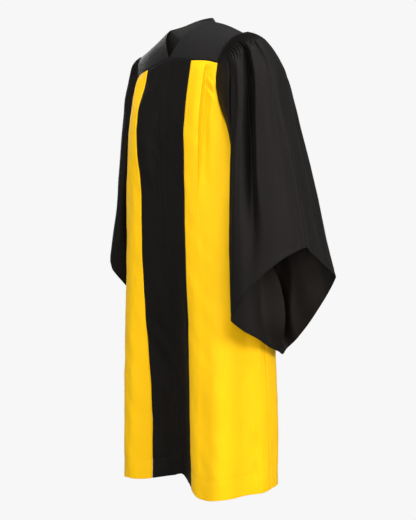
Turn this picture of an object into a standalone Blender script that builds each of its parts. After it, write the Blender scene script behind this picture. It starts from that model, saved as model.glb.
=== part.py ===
"""Choir robe: the shape it has when worn, with nobody in it.

Metres, +Z up. +X is the wearer's left and the front faces -Y. The origin lies midway between the two
neck points, at the height of the collar line, where the wearer's shoulders hold the robe up.
Every piece of cloth is a closed wall, built from an outer face and the same face moved inwards.
"""
import math
from collections import namedtuple

import bpy
import numpy as np

# Cloth and seams
WALL = 0.0014
SEAM_GAP = 0.0003
EDGE_TRIM = SEAM_GAP / 2

# Cut
FRONT_CENTER_WIDTH = 0.0935
HEM_HEIGHT = -1.300
HEM_TILT = 0.035
HEM_RISE_AT_CENTER = 0.012
UNDERARM_HEIGHT = -0.385
SIDE_MIDDLE_Y = 0.020
FRONT_POWER = 2.6
BACK_POWER = 3.2
VALLEY_REACH = 0.160
PLEAT_OFFSET = 0.050
PLEAT_ARC = FRONT_CENTER_WIDTH + PLEAT_OFFSET
NECK_SIDE = (0.083, 0.0, -0.015)
NECK_BACK = (0.0, 0.070, 0.017)
SHOULDER_TIP = (0.215, 0.0, -0.071)
YOKE_CORNER_X = 0.171
YOKE_CORNER_HEIGHT = -0.153
BACK_CORNER_X = 0.180
BACK_CORNER_HEIGHT = -0.175
YELLOW_SEAM_HEIGHT = -0.138
BACK_SEAM_HEIGHT = -0.163
SIDES = {"left": 1.0, "right": -1.0}
YOKE_CORE = np.array([0.0, SIDE_MIDDLE_Y, -0.300])


def hermite(start, start_slope, end, end_slope, t):
    """Smooth mix of two values with given slopes, over one span."""
    first = start * (2 * t**3 - 3 * t**2 + 1) + start_slope * (t**3 - 2 * t**2 + t)
    return first + end * (3 * t**2 - 2 * t**3) + end_slope * (t**3 - t**2)


class Table:
    """Rows of numbers under named columns, read on a smooth curve through the first column."""

    def __init__(self, columns, *rows):
        self.names = columns.split()[1:]
        rows = np.array(sorted(rows), float)
        self.keys, self.values = rows[:, 0], rows[:, 1:]
        self.slopes = np.gradient(self.values, self.keys, axis=0)

    def at(self, key):
        key = np.clip(np.asarray(key, float), self.keys[0], self.keys[-1])
        low = np.clip(np.searchsorted(self.keys, key, side="right") - 1, 0, len(self.keys) - 2)
        span = (self.keys[low + 1] - self.keys[low])[..., None]
        t = (key - self.keys[low])[..., None] / span
        slopes = self.slopes[low] * span, self.slopes[low + 1] * span
        mixed = hermite(self.values[low], slopes[0], self.values[low + 1], slopes[1], t)
        return {name: mixed[..., i] for i, name in enumerate(self.names)}


# The body's plan at each height: an oval, with a valley pressed into the centre front
BODY = Table(
    "height half_width front back valley",
    (-0.100, 0.196, -0.0720, 0.098, 0.000),
    (-0.138, 0.202, -0.0818, 0.109, 0.000),
    (-0.180, 0.209, -0.0915, 0.116, 0.002),
    (-0.240, 0.217, -0.1015, 0.121, 0.003),
    (-0.300, 0.225, -0.1085, 0.124, 0.005),
    (-0.400, 0.234, -0.1115, 0.128, 0.012),
    (-0.540, 0.237, -0.1110, 0.135, 0.016),
    (-0.757, 0.240, -0.1105, 0.148, 0.036),
    (-0.940, 0.243, -0.1120, 0.158, 0.066),
    (-1.120, 0.245, -0.1120, 0.164, 0.080),
    (-1.330, 0.246, -0.1110, 0.168, 0.087),
)
# Where the seams run
FRONT_SEAM = Table(
    "x height",
    (0.0, -0.120),
    (FRONT_CENTER_WIDTH, YELLOW_SEAM_HEIGHT),
    (0.150, -0.146),
    (YOKE_CORNER_X, YOKE_CORNER_HEIGHT),
)
BACK_SEAM = Table("x height", (0.0, BACK_SEAM_HEIGHT), (0.090, -0.166), (BACK_CORNER_X, BACK_CORNER_HEIGHT))
ARMHOLE = Table(
    "height front_x back_x",
    (YOKE_CORNER_HEIGHT, YOKE_CORNER_X, BACK_CORNER_X),
    (-0.220, 0.177, 0.184),
    (-0.290, 0.197, 0.201),
    (-0.345, 0.219, 0.221),
    (UNDERARM_HEIGHT, 0.2325, 0.2325),
)
SIDE_SEAM = Table(
    "height behind_middle",
    (-1.330, 0.058),
    (-0.920, 0.034),
    (-0.600, 0.018),
    (UNDERARM_HEIGHT, 0.0),
)
NECK_EDGE = Table(
    "share x y height",
    (0.00, 0.0, -0.0755, -0.1200),
    (0.25, 0.018, -0.0670, -0.0905),
    (0.50, 0.039, -0.0530, -0.0600),
    (0.78, 0.066, -0.0240, -0.0315),
    (1.00, *NECK_SIDE),
)
BACK_NECK = Table("share x y height", (0.0, *NECK_BACK), (0.5, 0.054, 0.052, 0.007), (1.0, *NECK_SIDE))
YOKE_ARM_FRONT = Table(
    "share x y height",
    (0.00, YOKE_CORNER_X, -0.0530, YOKE_CORNER_HEIGHT),
    (0.45, 0.187, -0.0380, -0.108),
    (0.75, 0.201, -0.0200, -0.085),
    (1.00, *SHOULDER_TIP),
)
YOKE_ARM_BACK = Table(
    "share x y height",
    (0.00, BACK_CORNER_X, 0.0905, BACK_CORNER_HEIGHT),
    (0.45, 0.192, 0.0680, -0.126),
    (0.75, 0.205, 0.0340, -0.092),
    (1.00, *SHOULDER_TIP),
)
# The knife pleat: its fold stands out, then drops into a recess that widens downwards
PLEAT = Table(
    "height rise recess drop_width",
    (-0.620, 0.0000, 0.0000, 0.030),
    (-0.500, 0.0015, 0.0020, 0.022),
    (-0.400, 0.0040, 0.0050, 0.014),
    (-0.300, 0.0060, 0.0070, 0.008),
    (-0.200, 0.0050, 0.0045, 0.004),
    (YELLOW_SEAM_HEIGHT, 0.0030, 0.0012, 0.003),
)
PLEAT_TOP = -0.149
PLEAT_TOP_FADE = 0.020
RECESS_REACH = 0.030

# Folds of the body: arc is measured round the plan from the centre front, negative on the right.
# A fold starts at the top height and is full at the full one; fade and gone are below the hem unless given.
BodyFold = namedtuple("BodyFold", "arc_top arc_hem out half_width top full fade gone", defaults=(-2.0, -3.0))
BODY_FOLDS = (
    BodyFold(0.215, 0.205, 0.016, 0.055, -0.45, -1.15),
    BodyFold(0.262, 0.285, -0.014, 0.050, -0.60, -1.20),
    BodyFold(0.330, 0.345, 0.008, 0.050, -0.55, -1.10),
    BodyFold(0.400, 0.420, 0.009, 0.070, -0.42, -0.85),
    BodyFold(-0.090, -0.090, 0.013, 0.080, -0.17, -0.27, fade=-0.34, gone=-0.50),
    BodyFold(-0.085, -0.080, -0.020, 0.070, -0.65, -1.20),
    BodyFold(-0.200, -0.185, 0.004, 0.050, -0.45, -1.15),
    BodyFold(-0.258, -0.280, -0.011, 0.055, -0.55, -1.20),
    BodyFold(-0.325, -0.350, 0.010, 0.050, -0.60, -1.10),
)
# Folds of the back: place is measured from the centre back, negative on the right
BackFold = namedtuple("BackFold", "place_top place_hem out half_width")
BACK_FOLDS = (
    BackFold(-0.128, -0.168, 0.013, 0.034),
    BackFold(-0.074, -0.098, 0.015, 0.036),
    BackFold(-0.022, -0.026, 0.012, 0.033),
    BackFold(0.030, 0.044, 0.015, 0.036),
    BackFold(0.082, 0.112, 0.013, 0.033),
    BackFold(0.133, 0.176, 0.012, 0.036),
)
BACK_FOLDS_TOP = -0.19
BACK_FOLDS_GROWTH = 0.35
BACK_EDGE_CALM = 0.03
BACK_GATHERS = 12
BACK_GATHER_DEPTH = 0.0030
GATHER_TOP = -0.178
GATHER_GROWTH = 0.025
GATHER_FADE_TOP = -0.24
GATHER_FADE = 0.20

# The sleeve at stations along its length: the four corners of its drop-shaped section
CORNERS = ("top", "front", "under", "back")
SLEEVE_COLUMNS = " ".join(["station"] + [f"{corner}_{axis}" for corner in CORNERS for axis in "xyz"])
SLEEVES = {
    "left": Table(
        SLEEVE_COLUMNS,
        (0.08, 0.266, 0.008, -0.082, 0.216, -0.074, -0.262, 0.2400, 0.022, -0.425, 0.230, 0.105, -0.240),
        (0.20, 0.300, 0.016, -0.150, 0.245, -0.079, -0.325, 0.2450, 0.026, -0.485, 0.269, 0.120, -0.275),
        (0.40, 0.328, 0.018, -0.290, 0.254, -0.087, -0.440, 0.2470, 0.042, -0.600, 0.302, 0.126, -0.365),
        (0.70, 0.376, 0.017, -0.460, 0.273, -0.108, -0.625, 0.2490, 0.068, -0.765, 0.350, 0.146, -0.535),
        (1.00, 0.420, 0.010, -0.637, 0.300, -0.130, -0.816, 0.2510, 0.100, -0.926, 0.390, 0.170, -0.718),
    ),
    "right": Table(
        SLEEVE_COLUMNS,
        (0.08, 0.243, 0.008, -0.086, 0.198, -0.064, -0.258, 0.2400, 0.024, -0.425, 0.218, 0.102, -0.242),
        (0.20, 0.260, 0.016, -0.156, 0.222, -0.062, -0.315, 0.2450, 0.030, -0.482, 0.250, 0.116, -0.278),
        (0.40, 0.284, 0.018, -0.290, 0.242, -0.059, -0.415, 0.2480, 0.048, -0.590, 0.280, 0.128, -0.365),
        (0.70, 0.314, 0.015, -0.460, 0.264, -0.055, -0.565, 0.2500, 0.076, -0.740, 0.312, 0.148, -0.530),
        (1.00, 0.348, 0.010, -0.640, 0.293, -0.052, -0.722, 0.2520, 0.108, -0.880, 0.340, 0.168, -0.705),
    ),
}
# How straight the section runs between its corners, quarter by quarter: 1 is round, 2 is straight
SLEEVE_POWER_COLUMNS = "station front_face front_under back_under back_face"
SLEEVE_POWERS = {
    "left": Table(
        SLEEVE_POWER_COLUMNS,
        (0.00, 1.00, 1.00, 1.00, 1.00),
        (0.20, 1.00, 1.10, 1.10, 1.12),
        (0.50, 1.00, 1.30, 1.30, 1.36),
        (1.00, 1.10, 1.70, 1.50, 1.95),
    ),
    "right": Table(
        SLEEVE_POWER_COLUMNS,
        (0.00, 1.00, 1.00, 1.00, 1.00),
        (0.20, 1.18, 1.10, 1.10, 1.15),
        (0.50, 1.30, 1.30, 1.30, 1.40),
        (1.00, 1.45, 1.70, 1.50, 1.80),
    ),
}
FLUTES = 18
FLUTE_SPAN = 0.144
FLUTE_DEPTH = 0.0017
FLUTE_START = 0.0018
FLUTE_GROWTH = 0.024
FLUTE_HOLD = 0.062
FLUTE_FADE = 0.058
SLEEVE_SEAM_OFFSET = 1.5 * SEAM_GAP
ARMHOLE_FRONT_HEIGHT = -0.213
ARMHOLE_BACK_HEIGHT = -0.205
# The sleeve's underside keeps clear of the body below this height, by more and more along the sleeve
CLEAR_HEIGHT = -0.20
CLEAR_AT_SEAM = 0.0012
CLEAR_NEAR = 0.0070
CLEAR_NEAR_LENGTH = 0.06
CLEAR_FAR = 0.012
CLEAR_FAR_START = 0.25
CLEAR_FAR_LENGTH = 0.4
# Long folds of the sleeves. Place runs round: 0 overarm, 0.25 front edge, 0.5 under, 0.75 back edge
SleeveFold = namedtuple("SleeveFold", "place_top place_hem out half_width start full end")
SLEEVE_FOLDS = {
    "left": (
        SleeveFold(0.000, 0.000, 0.010, 0.040, 0.20, 0.50, 2.00),
        SleeveFold(0.125, 0.178, -0.020, 0.045, 0.03, 0.20, 0.85),
        SleeveFold(0.170, 0.215, 0.009, 0.035, 0.03, 0.15, 0.70),
        SleeveFold(0.205, 0.235, -0.007, 0.025, 0.03, 0.10, 0.40),
        SleeveFold(0.060, 0.085, 0.008, 0.060, 0.08, 0.35, 1.20),
        SleeveFold(0.030, 0.045, -0.006, 0.030, 0.10, 0.45, 1.00),
        SleeveFold(0.880, 0.870, -0.012, 0.045, 0.05, 0.30, 1.10),
        SleeveFold(0.930, 0.930, 0.007, 0.040, 0.05, 0.30, 1.10),
        SleeveFold(0.820, 0.800, 0.008, 0.040, 0.06, 0.30, 1.00),
        SleeveFold(0.380, 0.370, -0.007, 0.060, 0.40, 0.75, 1.60),
        SleeveFold(0.620, 0.640, -0.009, 0.060, 0.35, 0.70, 1.60),
    ),
    "right": (
        SleeveFold(0.000, 0.000, 0.009, 0.040, 0.20, 0.50, 2.00),
        SleeveFold(0.115, 0.165, -0.016, 0.045, 0.03, 0.22, 0.90),
        SleeveFold(0.165, 0.205, 0.008, 0.035, 0.03, 0.15, 0.70),
        SleeveFold(0.055, 0.075, 0.007, 0.055, 0.08, 0.35, 1.20),
        SleeveFold(0.870, 0.862, -0.013, 0.045, 0.05, 0.30, 1.10),
        SleeveFold(0.925, 0.935, 0.007, 0.040, 0.05, 0.30, 1.10),
        SleeveFold(0.810, 0.795, 0.008, 0.040, 0.06, 0.30, 1.00),
        SleeveFold(0.390, 0.380, -0.006, 0.060, 0.40, 0.75, 1.60),
        SleeveFold(0.610, 0.630, -0.008, 0.060, 0.35, 0.70, 1.60),
    ),
}

# How closely each piece is divided
UPPER_SHARES = (0.0, 0.13, 0.29, 0.46, 0.63, 0.80, 0.91)
LOWER_SHARES = (0.0, 0.11, 0.24, 0.39, 0.55, 0.70, 0.85, 1.0)
SLEEVE_STATIONS = (0.0, 0.006, 0.028, 0.060, 0.11, 0.19, 0.31, 0.46, 0.64, 0.82, 1.0)
FRONT_CENTER_COLUMNS = 4
PLEAT_STRIP_COLUMNS = 4
SIDE_COLUMNS = 10
BACK_COLUMNS = 48
FRONT_YOKE_ROWS = 6
BACK_YOKE_ROWS = 7
BACK_YOKE_COLUMNS = 8
BACK_YOKE_BOW = 0.012
BACK_YOKE_SWELL = 0.016
BACK_YOKE_LIFT = 0.6
SLEEVE_FACE_COLUMNS = 7
SLEEVE_UNDER_COLUMNS = 18

# Closure
ZIP_HALF_WIDTH = 0.013
ZIP_THICKNESS = 0.0010
ZIP_GAP = 0.0005
ZIP_BOTTOM = -0.760

# Colours: base colour, roughness
BLACK = ((0.012, 0.012, 0.013), 0.75)
YELLOW = ((0.93, 0.62, 0.02), 0.62)


def smooth(value):
    """0 below 0, 1 above 1, with a soft step between."""
    value = np.clip(value, 0.0, 1.0)
    return value * value * (3 - 2 * value)


def bump(distance, half_width):
    """A soft ridge, 1 on its line and 0 from half_width out."""
    return 0.5 * (1 + np.cos(math.pi * np.clip(np.abs(distance) / half_width, 0.0, 1.0)))


def curve_at(table, share):
    row = table.at(share)
    return np.stack([row["x"], row["y"], row["height"]], axis=-1)


def oval(angle, height):
    """A point of the plain plan: angle 0 at the centre front, a quarter turn at the side."""
    row = BODY.at(height)
    ahead = angle < math.pi / 2
    power = np.where(ahead, FRONT_POWER, BACK_POWER)
    depth = np.where(ahead, SIDE_MIDDLE_Y - row["front"], row["back"] - SIDE_MIDDLE_Y)
    sine, cosine = np.abs(np.sin(angle)), np.abs(np.cos(angle))
    x = row["half_width"] * sine ** (2 / power)
    y = SIDE_MIDDLE_Y - np.where(ahead, 1, -1) * depth * cosine ** (2 / power)
    across = sine ** (2 - 2 / power) / row["half_width"]
    along = np.where(ahead, -1, 1) * cosine ** (2 - 2 / power) / depth
    length = np.hypot(across, along)
    return x, y, across / length, along / length


class Plan:
    """Turns arc length round the plain plan into angle, and back, at every height."""

    HEIGHTS = np.linspace(-1.34, -0.10, 125)
    ANGLES = math.pi * (0.5 - 0.5 * np.cos(np.linspace(0, math.pi, 401)))
    ARCS = np.linspace(0.0, 1.0, 401)

    def __init__(self):
        x, y, _, _ = oval(*np.meshgrid(self.ANGLES, self.HEIGHTS))
        steps = np.hypot(np.diff(x), np.diff(y))
        self.arcs = np.concatenate([np.zeros((len(x), 1)), np.cumsum(steps, axis=1)], axis=1)
        self.angles = np.array([np.interp(self.ARCS, arcs, self.ANGLES) for arcs in self.arcs])
        self.half = self.arcs[:, -1]

    def mix(self, table, columns, place, height):
        row = np.interp(height, self.HEIGHTS, np.arange(len(self.HEIGHTS)))
        low = np.clip(row.astype(int), 0, len(self.HEIGHTS) - 2)
        column = np.interp(place, columns, np.arange(len(columns)))
        left = np.clip(column.astype(int), 0, len(columns) - 2)
        t, s = row - low, column - left
        upper = table[low, left] * (1 - s) + table[low, left + 1] * s
        lower = table[low + 1, left] * (1 - s) + table[low + 1, left + 1] * s
        return upper * (1 - t) + lower * t

    def angle(self, arc, height):
        return self.mix(self.angles, self.ARCS, arc, height)

    def arc(self, angle, height):
        return self.mix(self.arcs, self.ANGLES, angle, height)

    def half_length(self, height):
        return np.interp(height, self.HEIGHTS, self.half)


PLAN = Plan()


def arc_at_x(x, height, behind=False):
    """Arc length from the centre front to where the plan has this x, in front or behind."""
    power = BACK_POWER if behind else FRONT_POWER
    share = np.clip(x / BODY.at(height)["half_width"], 0.0, 1.0)
    angle = np.arcsin(share ** (power / 2))
    return PLAN.arc(math.pi - angle if behind else angle, np.asarray(height, float))


def outer_arc(height, behind=False):
    """Arc of a panel's outer edge: the armhole above the underarm, the side seam below."""
    height = np.asarray(height, float)
    armhole = ARMHOLE.at(height)["back_x" if behind else "front_x"]
    side = PLAN.arc(np.full_like(height, math.pi / 2), height) + SIDE_SEAM.at(height)["behind_middle"]
    return np.where(height > UNDERARM_HEIGHT, arc_at_x(armhole, height, behind), side)


def body_points(arc, height):
    """Points of the body's outer face at signed arc lengths and heights."""
    arc, height = np.broadcast_arrays(np.asarray(arc, float), np.asarray(height, float))
    side = np.where(arc < 0, -1.0, 1.0)
    x, y, across, along = oval(PLAN.angle(np.abs(arc), height), height)
    y = y + BODY.at(height)["valley"] * bump(arc, VALLEY_REACH)
    out = body_folds(arc, height) + pleat(np.abs(arc), height)
    return np.stack([side * (x + across * out), y + along * out, height], axis=-1)


def body_normals(arc, height):
    """Normals of the body's face, which two panels share along their seam."""
    step = 0.001
    across = body_points(arc + step, height) - body_points(arc - step, height)
    along = body_points(arc, height - step) - body_points(arc, height + step)
    normals = np.cross(across, along)
    normals /= -np.linalg.norm(normals, axis=-1, keepdims=True)
    return normals


def body_cloth(arc, height):
    arc, height = np.broadcast_arrays(arc, height)
    return body_points(arc, height), body_normals(arc, height)


def body_folds(arc, height):
    """How far the folds stand out from the plain plan."""
    out = np.zeros_like(arc)
    down = np.clip(height / HEM_HEIGHT, 0, 1)
    for fold in BODY_FOLDS:
        line = fold.arc_top + (fold.arc_hem - fold.arc_top) * down
        growth = smooth((fold.top - height) / (fold.top - fold.full))
        fade = smooth((fold.fade - height) / (fold.fade - fold.gone))
        out = out + fold.out * bump(arc - line, fold.half_width) * growth * (1 - fade)
    half = PLAN.half_length(height)
    behind = half - np.abs(arc)
    place = np.where(arc < 0, -behind, behind)
    inside = smooth((half - outer_arc(height, True) - np.abs(place)) / BACK_EDGE_CALM)
    growth = smooth((BACK_FOLDS_TOP - height) / BACK_FOLDS_GROWTH) * inside
    for fold in BACK_FOLDS:
        line = fold.place_top + (fold.place_hem - fold.place_top) * down
        out = out + fold.out * bump(place - line, fold.half_width) * growth
    gather = np.sin(math.pi * BACK_GATHERS * place / BACK_CORNER_X)
    growth = smooth((GATHER_TOP - height) / GATHER_GROWTH) * inside
    fade = smooth((GATHER_FADE_TOP - height) / GATHER_FADE)
    return out + BACK_GATHER_DEPTH * gather * growth * (1 - fade)


def pleat(arc, height):
    """The raised strip of the knife pleat, its drop and the recess beyond."""
    row = PLEAT.at(height)
    past = arc - PLEAT_ARC
    rise = row["rise"] * smooth(1 + past / PLEAT_OFFSET)
    beyond = smooth(past / row["drop_width"])
    recess = row["recess"] * (1 - smooth((past - row["drop_width"]) / RECESS_REACH))
    fall = row["rise"] * (1 - beyond) - recess * beyond
    return np.where(past > 0, fall, rise) * smooth((PLEAT_TOP - height) / PLEAT_TOP_FADE)


def grid_normals(points, closed=False):
    """Unit normals of a grid of points, by differences along its rows and columns."""
    if closed:
        wrapped = np.concatenate([points[:, -1:], points, points[:, :1]], axis=1)
        across = (wrapped[:, 2:] - wrapped[:, :-2]) / 2
    else:
        across = np.gradient(points, axis=1)
    along = np.gradient(points, axis=0)
    normals = np.cross(along, across)
    return normals / np.linalg.norm(normals, axis=-1, keepdims=True)


def outward_normals(points, core, closed=False):
    """Grid normals that point away from a core inside the garment."""
    normals = grid_normals(points, closed)
    return normals * np.sign(np.sum(normals * (points - core)))


def signed_volume(points, faces):
    a, b, c = (points[[face[i] for face in faces]] for i in range(3))
    return np.sum(a * np.cross(b, c))


def wall_mesh(name, outer, inner, closed=False):
    """A closed wall between two grids of points with the same rows and columns."""
    rows, columns = outer.shape[:2]
    count = rows * columns
    points = np.concatenate([outer.reshape(-1, 3), inner.reshape(-1, 3)])
    faces = []

    def index(row, column):
        return row * columns + column % columns

    def add_quad(a, b, c, d):
        faces.append((a, b, c))
        faces.append((a, c, d))

    last = columns if closed else columns - 1
    for row in range(rows - 1):
        for column in range(last):
            a, b = index(row, column), index(row + 1, column)
            c, d = index(row + 1, column + 1), index(row, column + 1)
            add_quad(a, b, c, d)
            faces.append((c + count, b + count, a + count))
            faces.append((d + count, c + count, a + count))
    for column in range(last):
        for row, flip in ((0, False), (rows - 1, True)):
            a, b = index(row, column), index(row, column + 1)
            corners = (a, b, b + count, a + count)
            add_quad(*(reversed(corners) if flip else corners))
    if not closed:
        for row in range(rows - 1):
            for column, flip in ((0, True), (columns - 1, False)):
                a, b = index(row, column), index(row + 1, column)
                corners = (a, b, b + count, a + count)
                add_quad(*(reversed(corners) if flip else corners))
    if signed_volume(points, faces) < 0:
        faces = [face[::-1] for face in faces]
    mesh = bpy.data.meshes.new(name)
    mesh.from_pydata(points.tolist(), [], faces)
    mesh.update()
    return mesh


def add_cloth(name, cloth, color, closed=False, thickness=WALL):
    """Make one piece of cloth from the grid of its outer face and that face's normals."""
    outer, normals = cloth
    inner = outer - normals * thickness
    obj = bpy.data.objects.new(name, wall_mesh(name, outer, inner, closed))
    obj.data.materials.append(cloth_material(name, *color))
    obj.data.shade_smooth()
    obj.data.set_sharp_from_angle(angle=math.radians(50))
    bpy.context.scene.collection.objects.link(obj)


def cloth_material(name, color, roughness):
    material = bpy.data.materials.new(name)
    material.use_nodes = True
    shader = material.node_tree.nodes["Principled BSDF"]
    shader.inputs["Base Color"].default_value = (*color, 1.0)
    shader.inputs["Roughness"].default_value = roughness
    shader.inputs["Metallic"].default_value = 0.0
    return material


def hem_height(arc):
    """Height of the hem at a signed arc: lower on the right, lifted a little at the centre front."""
    x = body_points(arc, HEM_HEIGHT)[..., 0]
    return HEM_HEIGHT + HEM_TILT * x + HEM_RISE_AT_CENTER * bump(arc, VALLEY_REACH)


def panel_heights(seam, hem):
    """Heights of a panel's points: rows from its seam to the underarm's level, and on down to its hem."""
    upper = np.array(UPPER_SHARES)[:, None]
    lower = np.array(LOWER_SHARES)[:, None]
    start = seam - EDGE_TRIM
    above = start + (UNDERARM_HEIGHT - start) * upper
    below = UNDERARM_HEIGHT + (hem - UNDERARM_HEIGHT) * lower
    return np.concatenate([above, below])


def center_arcs():
    """Arcs across a centre front: its edge, the line where the zip tape ends, and on to the yellow seam."""
    rest = np.linspace(ZIP_HALF_WIDTH, FRONT_CENTER_WIDTH - EDGE_TRIM, FRONT_CENTER_COLUMNS)
    return np.concatenate([[EDGE_TRIM], rest])


def front_center(side):
    arc = center_arcs()
    height = panel_heights(FRONT_SEAM.at(arc)["height"], hem_height(side * arc))
    return body_cloth(side * arc, height)


def front_side(side):
    inner = FRONT_CENTER_WIDTH + EDGE_TRIM
    corner = outer_arc(YOKE_CORNER_HEIGHT) - EDGE_TRIM
    hem_edge = outer_arc(HEM_HEIGHT) - EDGE_TRIM
    seam_arcs = side_arcs(inner, PLEAT.at(YELLOW_SEAM_HEIGHT)["drop_width"], corner)
    hem_arcs = side_arcs(inner, PLEAT.at(HEM_HEIGHT)["drop_width"], hem_edge)
    height = panel_heights(seam_height_at_arc(seam_arcs), hem_height(side * hem_arcs))
    edge = outer_arc(height[:, -1]) - EDGE_TRIM
    drop = PLEAT.at(height[:, PLEAT_STRIP_COLUMNS])["drop_width"]
    arc = np.array([side_arcs(inner, width, end) for width, end in zip(drop, edge)])
    return body_cloth(side * arc, height)


def side_arcs(inner, drop, edge):
    """Arcs across a side front: the pleat's strip, its drop, and the rest to the armhole or side seam."""
    strip = np.linspace(inner, PLEAT_ARC, PLEAT_STRIP_COLUMNS + 1)
    return np.concatenate([strip, np.linspace(PLEAT_ARC + drop, edge, SIDE_COLUMNS + 1)])


def seam_height_at_arc(arc, behind=False):
    """Height of the yoke seam at an arc length along it."""
    table = BACK_SEAM if behind else FRONT_SEAM
    height = np.full_like(arc, BACK_SEAM_HEIGHT if behind else YELLOW_SEAM_HEIGHT)
    for _ in range(3):
        height = table.at(oval(PLAN.angle(arc, height), height)[0])["height"]
    return height


def back_panel():
    place = np.linspace(-1, 1, BACK_COLUMNS + 1)
    sign = np.where(place < 0, -1, 1)
    half = PLAN.half_length(HEM_HEIGHT)
    hem_arcs = half - (half - outer_arc(HEM_HEIGHT, True)) * np.abs(place)
    half_at_seam = PLAN.half_length(BACK_SEAM_HEIGHT)
    seam_arcs = half_at_seam - (half_at_seam - outer_arc(BACK_CORNER_HEIGHT, True)) * np.abs(place)
    height = panel_heights(seam_height_at_arc(seam_arcs, True), hem_height(sign * hem_arcs))
    reach = PLAN.half_length(height) - outer_arc(height, True) - EDGE_TRIM
    return body_cloth(sign * (PLAN.half_length(height) - reach * np.abs(place)), height)


def patch(left, right, bottom, top, shares):
    """A smooth grid between four edges; left and right run from the bottom edge to the top one."""
    v = np.linspace(0, 1, len(left))[:, None, None]
    u = shares[None, :, None]
    across = left[:, None] * (1 - u) + right[:, None] * u
    along = bottom[None] * (1 - v) + top[None] * v
    corners = (bottom[0] * (1 - u) + bottom[-1] * u) * (1 - v) + (top[0] * (1 - u) + top[-1] * u) * v
    return across + along - corners


def yoke_front():
    v = np.linspace(0, 1, FRONT_YOKE_ROWS)
    neck = curve_at(NECK_EDGE, v) + np.array([EDGE_TRIM, 0, 0])
    arm = curve_at(YOKE_ARM_FRONT, v)
    edge = outer_arc(YOKE_CORNER_HEIGHT) - EDGE_TRIM
    side = side_arcs(FRONT_CENTER_WIDTH, PLEAT.at(YELLOW_SEAM_HEIGHT)["drop_width"], edge)
    arcs = np.concatenate([center_arcs()[:-1], side])
    bottom, bottom_normals = body_cloth(arcs, seam_height_at_arc(arcs) + EDGE_TRIM)
    neck[0], arm[0] = bottom[0], bottom[-1]
    shares = arcs / arcs[-1]
    shoulder = neck[-1] + (arm[-1] - neck[-1]) * shares[:, None]
    grid = patch(neck, arm, bottom, shoulder, shares)
    grid[-1, :, 1] -= EDGE_TRIM
    return grid, yoke_normals(grid, bottom_normals)


def yoke_normals(grid, bottom_normals):
    """Normals of a yoke: the body's own along the yoke seam, and level with the seam on the shoulder."""
    normals = outward_normals(grid, YOKE_CORE)
    normals[0] = bottom_normals
    on_shoulder = np.abs(grid[-1, :, 1]) < 0.001
    normals[-1, on_shoulder, 1] = 0
    return normals / np.linalg.norm(normals, axis=-1, keepdims=True)


def yoke_back():
    columns = BACK_YOKE_COLUMNS
    v = np.linspace(0, 1, BACK_YOKE_ROWS)
    u = np.linspace(0, 1, 2 * columns)
    arm = curve_at(YOKE_ARM_BACK, v)
    half_at_seam = PLAN.half_length(BACK_SEAM_HEIGHT)
    arcs = half_at_seam + (outer_arc(BACK_CORNER_HEIGHT, True) + EDGE_TRIM - half_at_seam) * u
    bottom, bottom_normals = body_cloth(arcs, seam_height_at_arc(arcs, True) + EDGE_TRIM)
    neck = curve_at(BACK_NECK, np.linspace(0, 1, columns))
    shoulder = np.linspace(neck[-1], arm[-1], columns + 1)[1:]
    top = np.concatenate([neck, shoulder])
    middle = bottom[0] + (top[0] - bottom[0]) * v[:, None]
    middle[:, 1] += BACK_YOKE_BOW * np.sin(math.pi * v)
    arm[0] = bottom[-1]
    half = patch(middle, arm, bottom, top, u)
    swell = BACK_YOKE_SWELL * np.sin(math.pi * v)[:, None] * np.sin(math.pi * u)[None, :]
    half[..., 1] += swell
    half[..., 2] += BACK_YOKE_LIFT * swell
    half[-1, columns:, 1] += EDGE_TRIM
    mirror = np.array([-1, 1, 1])
    grid = np.concatenate([half[:, :0:-1] * mirror, half], axis=1)
    seam_normals = np.concatenate([bottom_normals[:0:-1] * mirror, bottom_normals])
    return grid, yoke_normals(grid, seam_normals)


def armhole_loop():
    """The left armhole's seam: four runs from the shoulder tip, down in front, up behind and back."""
    shares = np.array(UPPER_SHARES)
    down = YOKE_CORNER_HEIGHT + (UNDERARM_HEIGHT - YOKE_CORNER_HEIGHT) * shares
    up = UNDERARM_HEIGHT + (BACK_CORNER_HEIGHT - UNDERARM_HEIGHT) * (1 - shares[::-1])
    front_yoke = curve_at(YOKE_ARM_FRONT, np.linspace(1, 0, FRONT_YOKE_ROWS))
    front_panel = body_points(outer_arc(down), down)
    underarm = body_points(outer_arc(UNDERARM_HEIGHT), UNDERARM_HEIGHT)[None]
    back_edge = body_points(outer_arc(up, True), up)
    back_yoke = curve_at(YOKE_ARM_BACK, np.linspace(0, 1, BACK_YOKE_ROWS))
    return np.concatenate([front_yoke[:-1], front_panel, underarm, back_edge, back_yoke[1:-1]])


def quarter_points(loop):
    """Indices on the armhole loop of its top, front, lowest and rear points."""
    front = np.argmin(np.abs(loop[:, 2] - ARMHOLE_FRONT_HEIGHT) + (loop[:, 1] > 0))
    under = np.argmin(loop[:, 2])
    back = np.argmin(np.abs(loop[:, 2] - ARMHOLE_BACK_HEIGHT) + (loop[:, 1] < 0))
    return 0, front, under, back, len(loop)


def armhole_at(place):
    """Points of the armhole loop at places 0 to 1, a quarter of a turn for each of its four runs."""
    loop = armhole_loop()
    marks = quarter_points(loop)
    closed = np.concatenate([loop, loop[:1]])
    arcs = np.concatenate([[0], np.cumsum(np.linalg.norm(np.diff(closed, axis=0), axis=1))])
    arc = np.interp(place, [0, 0.25, 0.5, 0.75, 1.0], arcs[list(marks)])
    return np.stack([np.interp(arc, arcs, closed[:, axis]) for axis in range(3)], axis=-1)


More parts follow.
